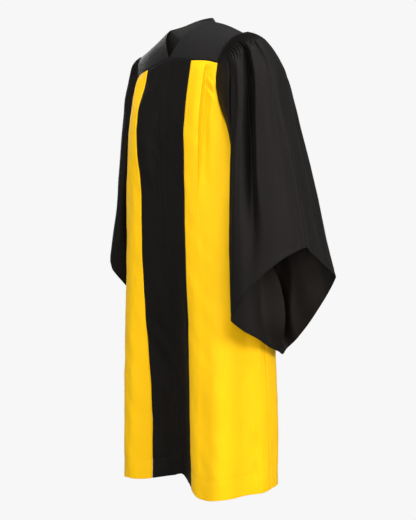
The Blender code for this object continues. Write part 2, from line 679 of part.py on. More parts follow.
def section_at(row, place, powers):
    """A drop-shaped section through its four corners, with a power for each quarter between them."""
    corners = np.array([[row[f"{corner}_{axis}"] for axis in "xyz"] for corner in CORNERS])
    center = corners.mean(axis=0)
    turn = (place % 1.0) * 4
    quarter = np.minimum(turn.astype(int), 3)
    share = np.clip(turn - quarter, 1e-9, 1 - 1e-9)
    start = corners[quarter] - center
    end = corners[(quarter + 1) % 4] - center
    power = np.array(powers)[quarter]
    angle = np.arctan((share / (1 - share)) ** (1 / power))
    near, far = np.cos(angle) ** power, np.sin(angle) ** power
    return center + start * near[..., None] + end * far[..., None]


def sleeve_surface(side, place, station):
    """Plain sleeve points for a grid of places and stations, rows along the sleeve."""
    table = SLEEVES[side]
    stations = np.concatenate([[0.0], table.keys])
    steps = 720
    fine = np.linspace(0, 1, steps + 1)
    sections = [armhole_at(fine) + np.array([SLEEVE_SEAM_OFFSET, 0, 0])]
    for key, values in zip(table.keys, table.values):
        powers = list(SLEEVE_POWERS[side].at(key).values())
        sections.append(section_at(dict(zip(table.names, values)), fine, powers))
    stack = np.array(sections)
    slopes = np.gradient(stack, stations, axis=0)
    low = np.clip(np.searchsorted(stations, station, side="right") - 1, 0, len(stations) - 2)
    span = (stations[low + 1] - stations[low])[..., None]
    t = (station - stations[low])[..., None] / span
    column = (place % 1.0) * steps
    left = np.minimum(column.astype(int), steps - 1)
    mix = (column - left)[..., None]

    def pick(grid, row):
        return grid[row, left] * (1 - mix) + grid[row, left + 1] * mix

    start_slope, end_slope = pick(slopes, low) * span, pick(slopes, low + 1) * span
    return hermite(pick(stack, low), start_slope, pick(stack, low + 1), end_slope, t)


def keep_clear(points, clearance):
    """Move points that are too near the body's side straight out from it, softly."""
    height = np.minimum(points[..., 2], CLEAR_HEIGHT)
    row = BODY.at(height)
    ahead = points[..., 1] < SIDE_MIDDLE_Y
    depth = np.where(ahead, SIDE_MIDDLE_Y - row["front"], row["back"] - SIDE_MIDDLE_Y)
    power = np.where(ahead, FRONT_POWER, BACK_POWER)
    share = np.clip(np.abs(points[..., 1] - SIDE_MIDDLE_Y) / depth, 0, 1)
    limit = row["half_width"] * (1 - share**power) ** (1 / power) + clearance
    softness = np.maximum(0.5 * clearance, 1e-6)
    moved = limit + softness * np.logaddexp(0, (points[..., 0] - limit) / softness)
    points[..., 0] = np.where(points[..., 2] < CLEAR_HEIGHT, moved, points[..., 0])
    return points


def sleeve_columns(station):
    """Places round the sleeve from overarm to overarm: crowded at the flutes of its head, even lower down."""
    reach = FLUTE_SPAN / 2 / armhole_run()
    flutes = np.linspace(0, reach, 2 * FLUTES + 1)
    crowded = np.concatenate([flutes, np.linspace(reach, 0.25, SLEEVE_FACE_COLUMNS + 1)[1:]])
    even = np.linspace(0, 0.25, len(crowded))
    blend = smooth(station / 0.30)
    face = crowded * (1 - blend) + even * blend
    under = np.linspace(0.25, 0.75, SLEEVE_UNDER_COLUMNS + 1)[1:-1]
    return np.concatenate([face, under, 1 - face[:0:-1]])


def flute_wave(count):
    """The flutes' wave, column by column: four columns to a flute, on both sides of the overarm line."""
    step = np.arange(count)
    step = np.where(step > count // 2, step - count, step)
    return np.where(np.abs(step) <= 2 * FLUTES, np.sin(math.pi / 2 * step), 0.0)


def armhole_run():
    """Armhole length that one full turn of places would have at the rate of the front quarter."""
    ends = armhole_at(np.linspace(0, 0.25, 200))
    return 4 * np.linalg.norm(np.diff(ends, axis=0), axis=1).sum()


def sleeve(side):
    station = np.array(SLEEVE_STATIONS)
    place = np.array([sleeve_columns(s) for s in station])
    along = station[:, None] + 0 * place
    points = sleeve_surface(side, place, along)
    clearance = CLEAR_AT_SEAM * (along > 0) + CLEAR_NEAR * smooth(along / CLEAR_NEAR_LENGTH)
    clearance = clearance + CLEAR_FAR * smooth((along - CLEAR_FAR_START) / CLEAR_FAR_LENGTH)
    points = keep_clear(points, clearance)
    normals = outward_normals(points, ring_centers(points), closed=True)
    growth = smooth((along - FLUTE_START) / FLUTE_GROWTH)
    out = FLUTE_DEPTH * flute_wave(place.shape[1]) * growth * (1 - smooth((along - FLUTE_HOLD) / FLUTE_FADE))
    for fold in SLEEVE_FOLDS[side]:
        line = fold.place_top + (fold.place_hem - fold.place_top) * along
        apart = (place - line + 0.5) % 1.0 - 0.5
        growth = smooth((along - fold.start) / (fold.full - fold.start))
        fade = smooth((along - fold.full) / (fold.end - fold.full))
        out = out + fold.out * bump(apart, fold.half_width) * growth * (1 - fade)
    points = points + normals * out[..., None]
    normals[0, :, 0] = np.minimum(normals[0, :, 0], 0)
    normals[0] /= np.linalg.norm(normals[0], axis=-1, keepdims=True)
    return points, normals


def ring_centers(points):
    return points.mean(axis=1, keepdims=True)


def zip_tape():
    arc = np.linspace(-ZIP_HALF_WIDTH, ZIP_HALF_WIDTH, 3)
    levels = panel_heights(FRONT_SEAM.at(0.0)["height"], hem_height(0.0))
    height = levels[levels > ZIP_BOTTOM][1:, None]
    face, normals = body_cloth(arc, height)
    return face - normals * (WALL + ZIP_GAP), normals


def mirrored(cloth, side):
    flip = np.array([side, 1, 1])
    return cloth[0] * flip, cloth[1] * flip


def build():
    for obj in list(bpy.data.objects):
        bpy.data.objects.remove(obj)
    for name, side in SIDES.items():
        add_cloth(f"front_center_{name}", front_center(side), BLACK)
        add_cloth(f"front_side_{name}", front_side(side), YELLOW)
        add_cloth(f"yoke_front_{name}", mirrored(yoke_front(), side), BLACK)
        add_cloth(f"sleeve_{name}", mirrored(sleeve(name), side), BLACK, closed=True)
    add_cloth("yoke_back", yoke_back(), BLACK)
    add_cloth("back_panel", back_panel(), YELLOW)
    add_cloth("zip_tape", zip_tape(), BLACK, thickness=ZIP_THICKNESS)


build()
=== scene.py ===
"""Choir robe, dressed: thin cloth with its creases, stitching and zip, on the robe's worn shape.

Metres, +Z up. +X is the wearer's left and the front faces -Y, as in the frame.
"""
import math
from collections import namedtuple

import bpy
import numpy as np
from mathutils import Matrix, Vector


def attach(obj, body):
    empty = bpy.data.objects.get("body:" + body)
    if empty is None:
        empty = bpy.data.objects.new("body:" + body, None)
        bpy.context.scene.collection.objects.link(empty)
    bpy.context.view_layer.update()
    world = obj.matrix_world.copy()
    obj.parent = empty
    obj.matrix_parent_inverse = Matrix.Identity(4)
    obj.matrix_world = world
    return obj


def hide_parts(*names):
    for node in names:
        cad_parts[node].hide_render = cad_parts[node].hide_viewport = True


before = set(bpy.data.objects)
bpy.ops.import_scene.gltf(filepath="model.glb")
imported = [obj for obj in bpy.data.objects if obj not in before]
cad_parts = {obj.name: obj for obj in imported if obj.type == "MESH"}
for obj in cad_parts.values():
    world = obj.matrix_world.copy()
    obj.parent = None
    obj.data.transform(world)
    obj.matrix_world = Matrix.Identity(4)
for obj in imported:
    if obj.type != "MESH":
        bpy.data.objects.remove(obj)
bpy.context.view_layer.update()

# Cloth and seams
CLOTH = 0.0007
HEM_CLOTH = 0.0011
SEAM_GAP = 0.0003
EDGE_TRIM = SEAM_GAP / 2

# Cut
FRONT_CENTER_WIDTH = 0.0935
HEM_HEIGHT = -1.300
HEM_TILT = 0.035
HEM_TILT_RIGHT = 0.060
HEM_RISE_AT_CENTER = 0.012
HEM_DEPTH = 0.050
SLEEVE_HEM_DEPTH = 0.014
UNDERARM_HEIGHT = -0.385
SIDE_MIDDLE_Y = 0.020
FRONT_POWER = 2.6
BACK_POWER = 3.2
VALLEY_REACH = 0.160
PLEAT_OFFSET = 0.050
PLEAT_ARC = FRONT_CENTER_WIDTH + PLEAT_OFFSET
NECK_SIDE = (0.083, 0.0, -0.015)
NECK_TILT = 0.06
SHOULDER_TIP = (0.215, 0.0, -0.071)
YOKE_CORNER_X = 0.171
YOKE_CORNER_HEIGHT = -0.153
BACK_CORNER_X = 0.180
BACK_CORNER_HEIGHT = -0.175
YELLOW_SEAM_HEIGHT = -0.138
BACK_SEAM_HEIGHT = -0.163
SIDES = {"left": 1.0, "right": -1.0}
YOKE_CORE = np.array([0.0, SIDE_MIDDLE_Y, -0.300])


def numbers_in(text):
    """Rows of numbers, one for each line of a text."""
    return [[float(word) for word in line.split()] for line in text.strip().splitlines()]


def hermite(start, start_slope, end, end_slope, t):
    """Smooth mix of two values with given slopes, over one span."""
    first = start * (2 * t**3 - 3 * t**2 + 1) + start_slope * (t**3 - 2 * t**2 + t)
    return first + end * (3 * t**2 - 2 * t**3) + end_slope * (t**3 - t**2)


class Table:
    """Rows of numbers under named columns, read on a smooth curve through the first column."""

    def __init__(self, columns, *rows):
        self.names = columns.split()[1:]
        rows = np.array(sorted(numbers_in(rows[0]) if isinstance(rows[0], str) else rows), float)
        self.keys, self.values = rows[:, 0], rows[:, 1:]
        self.slopes = np.gradient(self.values, self.keys, axis=0)

    def at(self, key):
        key = np.clip(np.asarray(key, float), self.keys[0], self.keys[-1])
        low = np.clip(np.searchsorted(self.keys, key, side="right") - 1, 0, len(self.keys) - 2)
        span = (self.keys[low + 1] - self.keys[low])[..., None]
        t = (key - self.keys[low])[..., None] / span
        slopes = self.slopes[low] * span, self.slopes[low + 1] * span
        mixed = hermite(self.values[low], slopes[0], self.values[low + 1], slopes[1], t)
        return {name: mixed[..., i] for i, name in enumerate(self.names)}


# The body's plan at each height: an oval, with a valley pressed into the centre front
BODY = Table("height half_width front back valley", """
-.1 .196 -.072 .098 0
-.138 .202 -.0818 .109 0
-.18 .209 -.0915 .116 .002
-.24 .217 -.1015 .121 .003
-.3 .225 -.1085 .124 .005
-.4 .234 -.1115 .128 .012
-.54 .237 -.111 .135 .016
-.757 .24 -.1105 .148 .036
-.94 .243 -.112 .158 .066
-1.12 .245 -.112 .164 .08
-1.33 .246 -.111 .168 .087
""")
# How far the hem hangs below its even line, at arcs from the centre front
HEM_DROP = Table("arc drop", """
-.26 0
-.22 .009
-.19 .011
-.16 .007
-.1 .009
-.06 .007
-.03 .003
0 -.003
.02 .006
.035 .009
.06 .004
.09 -.003
.12 .001
.15 .006
.18 .004
.2 0
.3 0
.36 -.003
.42 -.003
.46 0
""")
# Where the seams run
FRONT_SEAM = Table("x height", f"""
0 -0.12
{FRONT_CENTER_WIDTH} {YELLOW_SEAM_HEIGHT}
0.15 -0.146
{YOKE_CORNER_X} {YOKE_CORNER_HEIGHT}
""")
BACK_SEAM = Table("x height", f"""
0 {BACK_SEAM_HEIGHT}
0.09 -0.166
{BACK_CORNER_X} {BACK_CORNER_HEIGHT}
""")
ARMHOLE = Table("height front_x back_x", f"""
{YOKE_CORNER_HEIGHT} {YOKE_CORNER_X} {BACK_CORNER_X}
-0.22 0.177 0.184
-0.29 0.197 0.201
-0.345 0.219 0.221
{UNDERARM_HEIGHT} 0.2325 0.2325
""")
SIDE_SEAM = Table("height behind_middle", f"""
-1.33 0.058
-0.92 0.034
-0.6 0.018
{UNDERARM_HEIGHT} 0
""")
CURVE = "share x y height"
NECK_EDGE = Table(
    CURVE, (0.0, 0.0, -0.0755, -0.1200), (0.25, 0.018, -0.0670, -0.0905), (0.50, 0.039, -0.0530, -0.0600),
    (0.78, 0.066, -0.0240, -0.0315), (1.0, *NECK_SIDE),
)
BACK_NECK = Table(
    CURVE, (0.0, 0.0, 0.070, 0.017), (0.20, 0.018, 0.0680, 0.0160), (0.42, 0.0385, 0.0575, 0.0105),
    (0.72, 0.063, 0.0345, -0.0020), (1.0, *NECK_SIDE),
)
YOKE_ARM_FRONT = Table(
    CURVE, (0.0, YOKE_CORNER_X, -0.0530, YOKE_CORNER_HEIGHT), (0.45, 0.187, -0.0380, -0.108),
    (0.75, 0.201, -0.0200, -0.085), (1.0, *SHOULDER_TIP),
)
YOKE_ARM_BACK = Table(
    CURVE, (0.0, BACK_CORNER_X, 0.0905, BACK_CORNER_HEIGHT), (0.45, 0.192, 0.0680, -0.126),
    (0.75, 0.205, 0.0340, -0.092), (1.0, *SHOULDER_TIP),
)
# The knife pleat: its fold stands out and leans over a recess that widens downwards
PLEAT = Table("height rise recess drop_width", f"""
-0.62 0 0 0.03
-0.5 0.0015 0.002 0.022
-0.4 0.0045 0.009 0.014
-0.3 0.006 0.013 0.009
-0.2 0.0055 0.011 0.005
{YELLOW_SEAM_HEIGHT} 0.003 0.0035 0.003
""")
PLEAT_GROWS = (-0.149, -0.020)
PLEAT_DROP = 0.0035
RECESS_REACH = 0.030
PLEAT_LEAN = 0.45
LEAN_BEFORE_FOLD = 0.010
LEAN_PAST_FOLD = 0.0016

# Folds of the body and the sleeves: the place of the line at the top and at the hem, how far it stands out, its half
# width, where it starts, is full, begins to fade and is gone. On the body the place is the arc round the plan from
# the centre front, negative on the right, and a fold runs down by height to the hem if no fade is given.
Fold = namedtuple("Fold", "top hem out half_width start full fade gone", defaults=(-2.0, -3.0))
BODY_FOLDS = [Fold(*row) for row in numbers_in("""
.215 .205 .016 .055 -.45 -1.15
.262 .285 -.014 .05 -.6 -1.2
.33 .345 .008 .05 -.55 -1.1
.4 .42 .009 .07 -.42 -.85
-.09 -.09 .013 .08 -.17 -.27 -.34 -.5
-.085 -.08 -.02 .07 -.65 -1.2
-.2 -.185 .004 .05 -.45 -1.15
-.258 -.28 -.011 .055 -.55 -1.2
-.325 -.35 .01 .05 -.6 -1.1
""")]
# Folds of the back: place from the centre back at the top and at the hem, how far out and half width
BACK_FOLDS = numbers_in("""
-.128 -.172 .01 .028
-.078 -.104 .017 .038
-.022 -.03 .008 .027
.026 .042 .016 .04
.08 .104 .01 .027
.133 .178 .014 .038
""")
BACK_FOLDS_GROW = (-0.19, -0.35)
BACK_EDGE_CALM = 0.03
BACK_GATHERS = 12
BACK_GATHER_DEPTH = 0.0030
GATHERS_GROW = (-0.178, -0.025)
GATHERS_FADE = (-0.24, -0.20)

# The sleeve at stations along its length: the four corners of its drop-shaped section
SLEEVE_COLUMNS = "station top_x top_y top_z front_x front_y front_z under_x under_y under_z back_x back_y back_z"
SLEEVES = {
    "left": Table(SLEEVE_COLUMNS, """
.08 .261 .008 -.0895 .216 -.074 -.262 .24 .022 -.425 .23 .105 -.24
.2 .3 .016 -.15 .245 -.079 -.325 .245 .026 -.485 .269 .12 -.275
.4 .328 .018 -.29 .254 -.087 -.44 .247 .042 -.6 .302 .126 -.365
.7 .376 .017 -.46 .273 -.108 -.625 .249 .068 -.765 .35 .146 -.535
1 .42 .01 -.637 .3 -.13 -.816 .257 .107 -.93 .39 .17 -.718
"""),
    "right": Table(SLEEVE_COLUMNS, """
.08 .243 .008 -.086 .198 -.064 -.258 .24 .024 -.425 .218 .102 -.242
.2 .26 .016 -.156 .222 -.062 -.315 .245 .03 -.482 .25 .116 -.278
.4 .284 .018 -.29 .242 -.059 -.415 .248 .048 -.59 .28 .128 -.365
.7 .314 .015 -.46 .264 -.055 -.565 .25 .076 -.74 .312 .148 -.53
1 .348 .01 -.64 .293 -.052 -.722 .252 .108 -.88 .34 .168 -.705
"""),
}
# How straight the section runs between its corners, quarter by quarter: 1 is round, 2 is straight
POWER_COLUMNS = "station front_face front_under back_under back_face"
SLEEVE_POWERS = {
    "left": Table(POWER_COLUMNS, """
0 1 1 1 1
.2 1 1.1 1.1 1.12
.5 1 1.3 1.3 1.36
1 1.1 1.9 1.5 1.95
"""),
    "right": Table(POWER_COLUMNS, """
0 1 1 1 1
.2 1.18 1.1 1.1 1.15
.5 1.3 1.3 1.3 1.4
1 1.45 1.7 1.5 1.8
"""),
}
FLUTES = 31
FLUTE_SPAN = 0.170
OUTER_FLUTES_FADE = (0.46 * FLUTE_SPAN, 0.06 * FLUTE_SPAN)
FLUTE_ROUNDNESS = 0.7
FLUTE_DEPTH = 0.0040
FLUTES_GROW = (0.0018, 0.024)
FLUTES_FADE = (0.062, 0.058)
FLUTE_COLUMNS_SPREAD = (0.0, 0.22)
SLEEVE_SEAM_OFFSET = 1.5 * SEAM_GAP
ARMHOLE_FRONT_HEIGHT = -0.213
ARMHOLE_BACK_HEIGHT = -0.205
# The girth of a sleeve that its crease widths are measured on, at its head and how much it grows
SLEEVE_GIRTH = 0.79
SLEEVE_GIRTH_GROWTH = 0.17
# The sleeve's underside keeps clear of the body below this height, by more and more along the sleeve
CLEAR_HEIGHT = -0.20
CLEAR_AT_SEAM = 0.0012
CLEAR_NEAR = 0.0070
NEAR_GROWS = (0.0, 0.06)
CLEAR_FAR = 0.012
FAR_GROWS = (0.25, 0.4)
CLEAR_OF_FOLDS = 0.012
CLEAR_OF_FOLDS_GROWS = (0.10, 0.30)
CLEAR_SOFTNESS = 0.5
LEAST_SOFTNESS = 1e-6
QUARTER_END = 1e-9
# Long folds of the sleeves by station. Place runs round: 0 overarm, 0.25 front edge, 0.5 under, 0.75 back edge.
# They fade from where they are full to their last number.
SLEEVE_FOLD_ROWS = {
    "left": """
0 0 .007 .045 .2 .5 2
.86 .85 -.009 .045 .2 .5 1.1
.805 .79 .006 .04 .15 .4 1
.38 .37 -.007 .06 .4 .75 1.6
.62 .64 -.009 .06 .35 .7 1.6
""",
    "right": """
0 0 .009 .04 .2 .5 2
.115 .165 -.016 .045 .03 .22 .9
.165 .205 .003 .035 .03 .15 .7
.055 .075 .002 .055 .08 .35 1.2
.87 .862 -.013 .045 .05 .3 1.1
.925 .935 .007 .04 .05 .3 1.1
.81 .795 .008 .04 .06 .3 1
.39 .38 -.006 .06 .4 .75 1.6
.61 .63 -.008 .06 .35 .7 1.6
""",
}
SLEEVE_FOLDS = {
    side: [Fold(*row[:6], row[5], row[6]) for row in numbers_in(text)]
    for side, text in SLEEVE_FOLD_ROWS.items()
}

# Listed creases, with an empty line between them. A body crease runs down the height: its line is the arc, its
# depth is out, and before and after are its half widths towards the smaller and the larger arc. Crisp mixes a soft
# ridge with a peaked one. The armhole creases are on both sides.
BODY_CREASE = "height line out before after crisp"
ARMHOLE_CREASES = """
-.19 .141 0 .006 .006 .2
-.202 .146 -.001 .007 .007 0
-.22 .163 -.0034 .009 .009 0
-.238 .179 -.001 .008 .008 0
-.25 .188 0 .006 .006 .2

-.165 .143 0 .006 .006 .2
-.187 .15 .0009 .008 .008 0
-.208 .168 .003 .009 .01 0
-.228 .184 .0008 .008 .008 0
-.24 .19 0 .006 .006 .2

-.21 .146 0 .007 .007 .2
-.226 .156 .0012 .008 .008 .2
-.242 .171 .0018 .009 .009 .2
-.262 .186 .0008 .008 .008 .2
-.28 .194 0 .006 .006 .2
""".split("\n\n")
HEM_CREASES = """
-1.06 .312 0 .01 .01 .4
-1.11 .315 -.003 .008 .016 .4
-1.175 .319 -.0026 .008 .014 .4
-1.2 .318 0 .01 .01 .4

-1.202 .314 0 .005 .005 .2
-1.222 .315 -.0036 .006 .006 .2
-1.24 .315 -.003 .006 .006 .2
-1.258 .316 0 .005 .005 .2
""".split("\n\n")
BODY_CREASES = [Table(BODY_CREASE, text) for text in ARMHOLE_CREASES + HEM_CREASES]
BODY_CREASES += [
    Table(BODY_CREASE, *((height, -line, out, after, before, crisp)
                         for height, line, out, before, after, crisp in numbers_in(text)))
    for text in ARMHOLE_CREASES
]
# A sleeve crease runs along the stations: its line is the place, its half widths are metres
SLEEVE_CREASE = "station line out before after crisp"
NEAR_SLEEVE = """
.02 .135 0 .01 .01 .2
.06 .147 -.01 .01 .012 .2
.12 .19 -.018 .011 .016 .2
.18 .228 -.015 .012 .018 .2
.28 .26 0 .012 .016 .2

.05 .132 0 .014 .014 0
.12 .14 .006 .016 .016 0
.25 .165 .006 .02 .02 0
.4 .185 .005 .024 .024 0
.7 .2 .0025 .03 .03 0
.95 .215 0 .03 .03 0

.04 .084 0 .006 .01 .2
.08 .089 -.015 .007 .014 .2
.14 .096 -.032 .009 .022 .1
.22 .106 -.042 .011 .03 0
.35 .113 -.042 .012 .036 0
.62 .13 -.03 .016 .038 0
.86 .138 -.01 .028 .036 0
1 .145 0 .03 .03 0

.18 .05 0 .026 .026 0
.4 .062 .003 .032 .034 0
.73 .072 .0035 .036 .038 0
1 .088 .002 .036 .036 0

.3 .03 0 .02 .02 0
.55 .036 -.0012 .024 .024 0
.8 .042 -.0022 .026 .026 0
1 .058 -.0012 .028 .028 0

.3 .992 0 .014 .014 .8
.45 .996 .0014 .014 .012 .5
.7 1.004 .0022 .014 .012 .6
1 1.008 .0024 .014 .012 .6

.08 .056 0 .006 .006 .3
.105 .051 -.005 .007 .007 .3
.145 .048 -.0055 .008 .008 .3
.2 .034 -.0035 .01 .01 .3
.26 .026 0 .01 .01 .3

.07 .071 0 .005 .005 .3
.095 .068 -.0035 .006 .006 .3
.135 .066 0 .006 .006 .3

.04 .905 0 .01 .01 .3
.13 .89 -.008 .014 .014 .3
.3 .875 -.01 .02 .02 .3
.6 .868 -.008 .024 .024 .2
.95 .865 0 .03 .03 0

.45 .48 0 .034 .016 .4
.7 .484 -.04 .052 .011 .4
.9 .464 -.036 .05 .011 .4
1 .474 -.004 .036 .014 .4

.5 .548 0 .024 .03 0
.72 .544 .034 .03 .05 0
.9 .52 .032 .026 .044 0
1 .532 .009 .028 .036 0
""".split("\n\n")
FAR_SLEEVE = NEAR_SLEEVE[4:9]
SLEEVE_CREASES = {
    side: [Table(SLEEVE_CREASE, text) for text in texts]
    for side, texts in {"left": NEAR_SLEEVE, "right": FAR_SLEEVE}.items()
}
# Slight unevenness of hanging cloth: size of a swell across and along, depth, seed and, on the body, slant
BODY_WAVES = (
    (0.050, 0.160, 0.0017, 11, 0.0), (0.034, 0.110, 0.0010, 14, 0.8),
    (0.026, 0.070, 0.0014, 12, 0.0), (0.013, 0.032, 0.0005, 13, 0.0),
)
BODY_WAVES_GROW = (-0.13, -0.06)
DRIFT = 0.25
DRIFT_ACROSS = 0.2
DRIFT_ALONG = 0.3
DRIFT_SEED = 50
SLEEVE_WAVES = ((13, 0.24, 0.0010, 21), (37, 0.09, 0.0004, 23), (71, 0.05, 0.0002, 25))
SLEEVE_WAVES_GROW = (0.05, 0.15)
YOKE_WAVE_DEPTH = 0.0016
YOKE_WAVE_SIZE = (0.05, 0.06, 0.05)
YOKE_WAVE_START = (7, 9)
YOKE_WAVE_SEED = 31
NOISE_CELLS = 61

SEAM_LINES = (0.0008, 0.0020, 0.0036)


def graded(start, end, count, before=True, after=True, unit=1.0):
    """Evenly spaced numbers, of so many metres a unit, with a few close lines at the ends for seams and hems."""
    lines = np.linspace(start, end, count + 1)
    close = np.array(SEAM_LINES) / unit
    if before:
        lines = np.concatenate([lines[:1], start + close, lines[1:]])
    if after:
        lines = np.concatenate([lines[:-1], end - close[::-1], lines[-1:]])
    return np.sort(lines)


# How closely each piece is divided
PLEAT_FOLD_LINES = (
    -0.0030, -0.0018, -0.0010, -0.0004, 0.0, 0.0003, 0.0007, 0.0012, 0.0018, 0.0028, 0.0042, 0.0060, 0.0085,
)
PLEAT_STRIP_STOP = 0.0045
PLEAT_SIDE_START = 0.012
UPPER_ROWS, UPPER_LENGTH = 62, 0.24
LOWER_ROWS, LOWER_LENGTH = 176, 0.92
SLEEVE_HEAD_ROWS, SLEEVE_HEAD_END = 36, 0.12
SLEEVE_ROWS, SLEEVE_LENGTH = 112, 0.62
YOKE_ROWS, YOKE_LENGTH = 44, 0.16
BACK_COLUMNS, BACK_HALF_WIDTH = 164, 0.2
UPPER_SHARES = graded(0.0, 1.0, UPPER_ROWS, after=False, unit=UPPER_LENGTH)[:-1]
LOWER_SHARES = graded(0.0, 1.0, LOWER_ROWS, before=False, unit=LOWER_LENGTH)
SLEEVE_STATIONS = np.concatenate([
    np.linspace(0.0, SLEEVE_HEAD_END, SLEEVE_HEAD_ROWS + 1)[:-1],
    graded(SLEEVE_HEAD_END, 1.0, SLEEVE_ROWS, before=False, unit=SLEEVE_LENGTH),
])
YOKE_SHARES = graded(0.0, 1.0, YOKE_ROWS, unit=YOKE_LENGTH)
FRONT_CENTER_COLUMNS = 32
PLEAT_STRIP_COLUMNS = 16
SIDE_COLUMNS = 60
FRONT_YOKE_COLUMNS = 60
BACK_YOKE_COLUMNS = 34
FLUTE_COLUMNS = 80
SLEEVE_FACE_COLUMNS = 18
SLEEVE_UNDER_COLUMNS = (24, 52, 24)
SLEEVE_UNDER_PLACES = (0.25, 0.43, 0.60, 0.75)
RING_STEPS = 720
RUN_STEPS = 200
SEAM_ROUNDS = 3
PLAN_STEPS = 400
PLAN_ROWS = 125

# The yokes' own form
BACK_YOKE_BOW = 0.012
BACK_YOKE_SWELL = 0.016
BACK_YOKE_LIFT = 0.45
SHOULDER_LEAN = 0.005
SHOULDER_LEAN_REACH = 0.075
SHOULDER_LINE_REACH = 0.001

# Closure
ZIP_HALF_WIDTH = 0.013
ZIP_GAP = 0.0005
CLOSED_EDGE = 0.00003
CLOSURE_GAP = 0.0008
CLOSURE_GAP_AT_TOP = 0.0012
CLOSURE_TOP_REACH = 0.009
CLOSURE_FADE = 0.012
ZIP_TOP = -0.145
ZIP_BOTTOM = -0.755
ZIP_COLUMNS = 7
ZIP_ROWS = 200


def smooth(value):
    """0 below 0, 1 above 1, with a soft step between."""
    value = np.clip(value, 0.0, 1.0)
    return value * value * (3 - 2 * value)


def ramp(value, span):
    """A soft step from 0 at the start of a span to 1 after its length, which is negative where it runs down."""
    start, length = span
    return smooth((value - start) / length)


def bump(distance, half_width):
    """A soft ridge, 1 on its line and 0 from half_width out."""
    return 0.5 * (1 + np.cos(math.pi * np.clip(np.abs(distance) / half_width, 0.0, 1.0)))


def unit(vectors):
    """Vectors at length 1."""
    return vectors / np.linalg.norm(vectors, axis=-1, keepdims=True)


def curve_at(table, share):
    """Points of a curve in space at shares of its length."""
    row = table.at(share)
    return np.stack([row["x"], row["y"], row["height"]], axis=-1)


def plan_form(ahead, row):
    """The power and the depth of the plan, in front of its middle or behind."""
    depth = np.where(ahead, SIDE_MIDDLE_Y - row["front"], row["back"] - SIDE_MIDDLE_Y)
    return np.where(ahead, FRONT_POWER, BACK_POWER), depth


def oval(angle, height):
    """A point of the plain plan and its normal: angle 0 at the centre front, a quarter turn at the side."""
    row = BODY.at(height)
    ahead = angle < math.pi / 2
    power, depth = plan_form(ahead, row)
    sine, cosine = np.abs(np.sin(angle)), np.abs(np.cos(angle))
    x = row["half_width"] * sine ** (2 / power)
    y = SIDE_MIDDLE_Y - np.where(ahead, 1, -1) * depth * cosine ** (2 / power)
    across = sine ** (2 - 2 / power) / row["half_width"]
    along = np.where(ahead, -1, 1) * cosine ** (2 - 2 / power) / depth
    length = np.hypot(across, along)
    return x, y, across / length, along / length


class Plan:
    """Turns arc length round the plain plan into angle, and back, at every height."""

    HEIGHTS = np.linspace(-1.34, -0.10, PLAN_ROWS)
    ANGLES = math.pi * (0.5 - 0.5 * np.cos(np.linspace(0, math.pi, PLAN_STEPS + 1)))
    ARCS = np.linspace(0.0, 1.0, PLAN_STEPS + 1)

    def __init__(self):
        x, y, _, _ = oval(*np.meshgrid(self.ANGLES, self.HEIGHTS))
        steps = np.hypot(np.diff(x), np.diff(y))
        self.arcs = np.concatenate([np.zeros((len(x), 1)), np.cumsum(steps, axis=1)], axis=1)
        self.angles = np.array([np.interp(self.ARCS, arcs, self.ANGLES) for arcs in self.arcs])
        self.half = self.arcs[:, -1]

    def mix(self, table, columns, place, height):
        row = np.interp(height, self.HEIGHTS, np.arange(len(self.HEIGHTS)))
        low = np.clip(row.astype(int), 0, len(self.HEIGHTS) - 2)
        column = np.interp(place, columns, np.arange(len(columns)))
        left = np.clip(column.astype(int), 0, len(columns) - 2)
        t, s = row - low, column - left
        upper = table[low, left] * (1 - s) + table[low, left + 1] * s
        lower = table[low + 1, left] * (1 - s) + table[low + 1, left + 1] * s
        return upper * (1 - t) + lower * t

    def angle(self, arc, height):
        return self.mix(self.angles, self.ARCS, arc, height)

    def arc(self, angle, height):
        return self.mix(self.arcs, self.ANGLES, angle, height)

    def half_length(self, height):
        return np.interp(height, self.HEIGHTS, self.half)


PLAN = Plan()


def arc_at_x(x, height, behind=False):
    """Arc length from the centre front to where the plan has this x, in front or behind."""
    power = BACK_POWER if behind else FRONT_POWER
    share = np.clip(x / BODY.at(height)["half_width"], 0.0, 1.0)
    angle = np.arcsin(share ** (power / 2))
    return PLAN.arc(math.pi - angle if behind else angle, np.asarray(height, float))


def outer_arc(height, behind=False):
    """Arc of a panel's outer edge: the armhole above the underarm, the side seam below."""
    height = np.asarray(height, float)
    armhole = ARMHOLE.at(height)["back_x" if behind else "front_x"]
    side = PLAN.arc(np.full_like(height, math.pi / 2), height) + SIDE_SEAM.at(height)["behind_middle"]
    return np.where(height > UNDERARM_HEIGHT, arc_at_x(armhole, height, behind), side)


def body_points(arc, height):
    """Points of the body's outer face at signed arc lengths and heights."""
    arc, height = np.broadcast_arrays(np.asarray(arc, float), np.asarray(height, float))
    side = np.where(arc < 0, -1.0, 1.0)
    x, y, across, along = oval(PLAN.angle(np.abs(arc) + pleat_overhang(np.abs(arc), height), height), height)
    y = y + BODY.at(height)["valley"] * bump(arc, VALLEY_REACH)
    out = body_folds(arc, height) + pleat(np.abs(arc), height) + body_creases(arc, height)
    return np.stack([side * (x + across * out), y + along * out, height], axis=-1)


def body_normals(arc, height):
    """Normals of the body's face, which two panels share along their seam."""
    step = 0.001
    across = body_points(arc + step, height) - body_points(arc - step, height)
    along = body_points(arc, height - step) - body_points(arc, height + step)
    return -unit(np.cross(across, along))


def body_cloth(arc, height):
    """Points and normals of the body's outer face."""
    arc, height = np.broadcast_arrays(arc, height)
    return body_points(arc, height), body_normals(arc, height)


def fold_line(fold, share):
    """Place of a fold's line at a share of the way to the hem."""
    return fold.top + (fold.hem - fold.top) * share


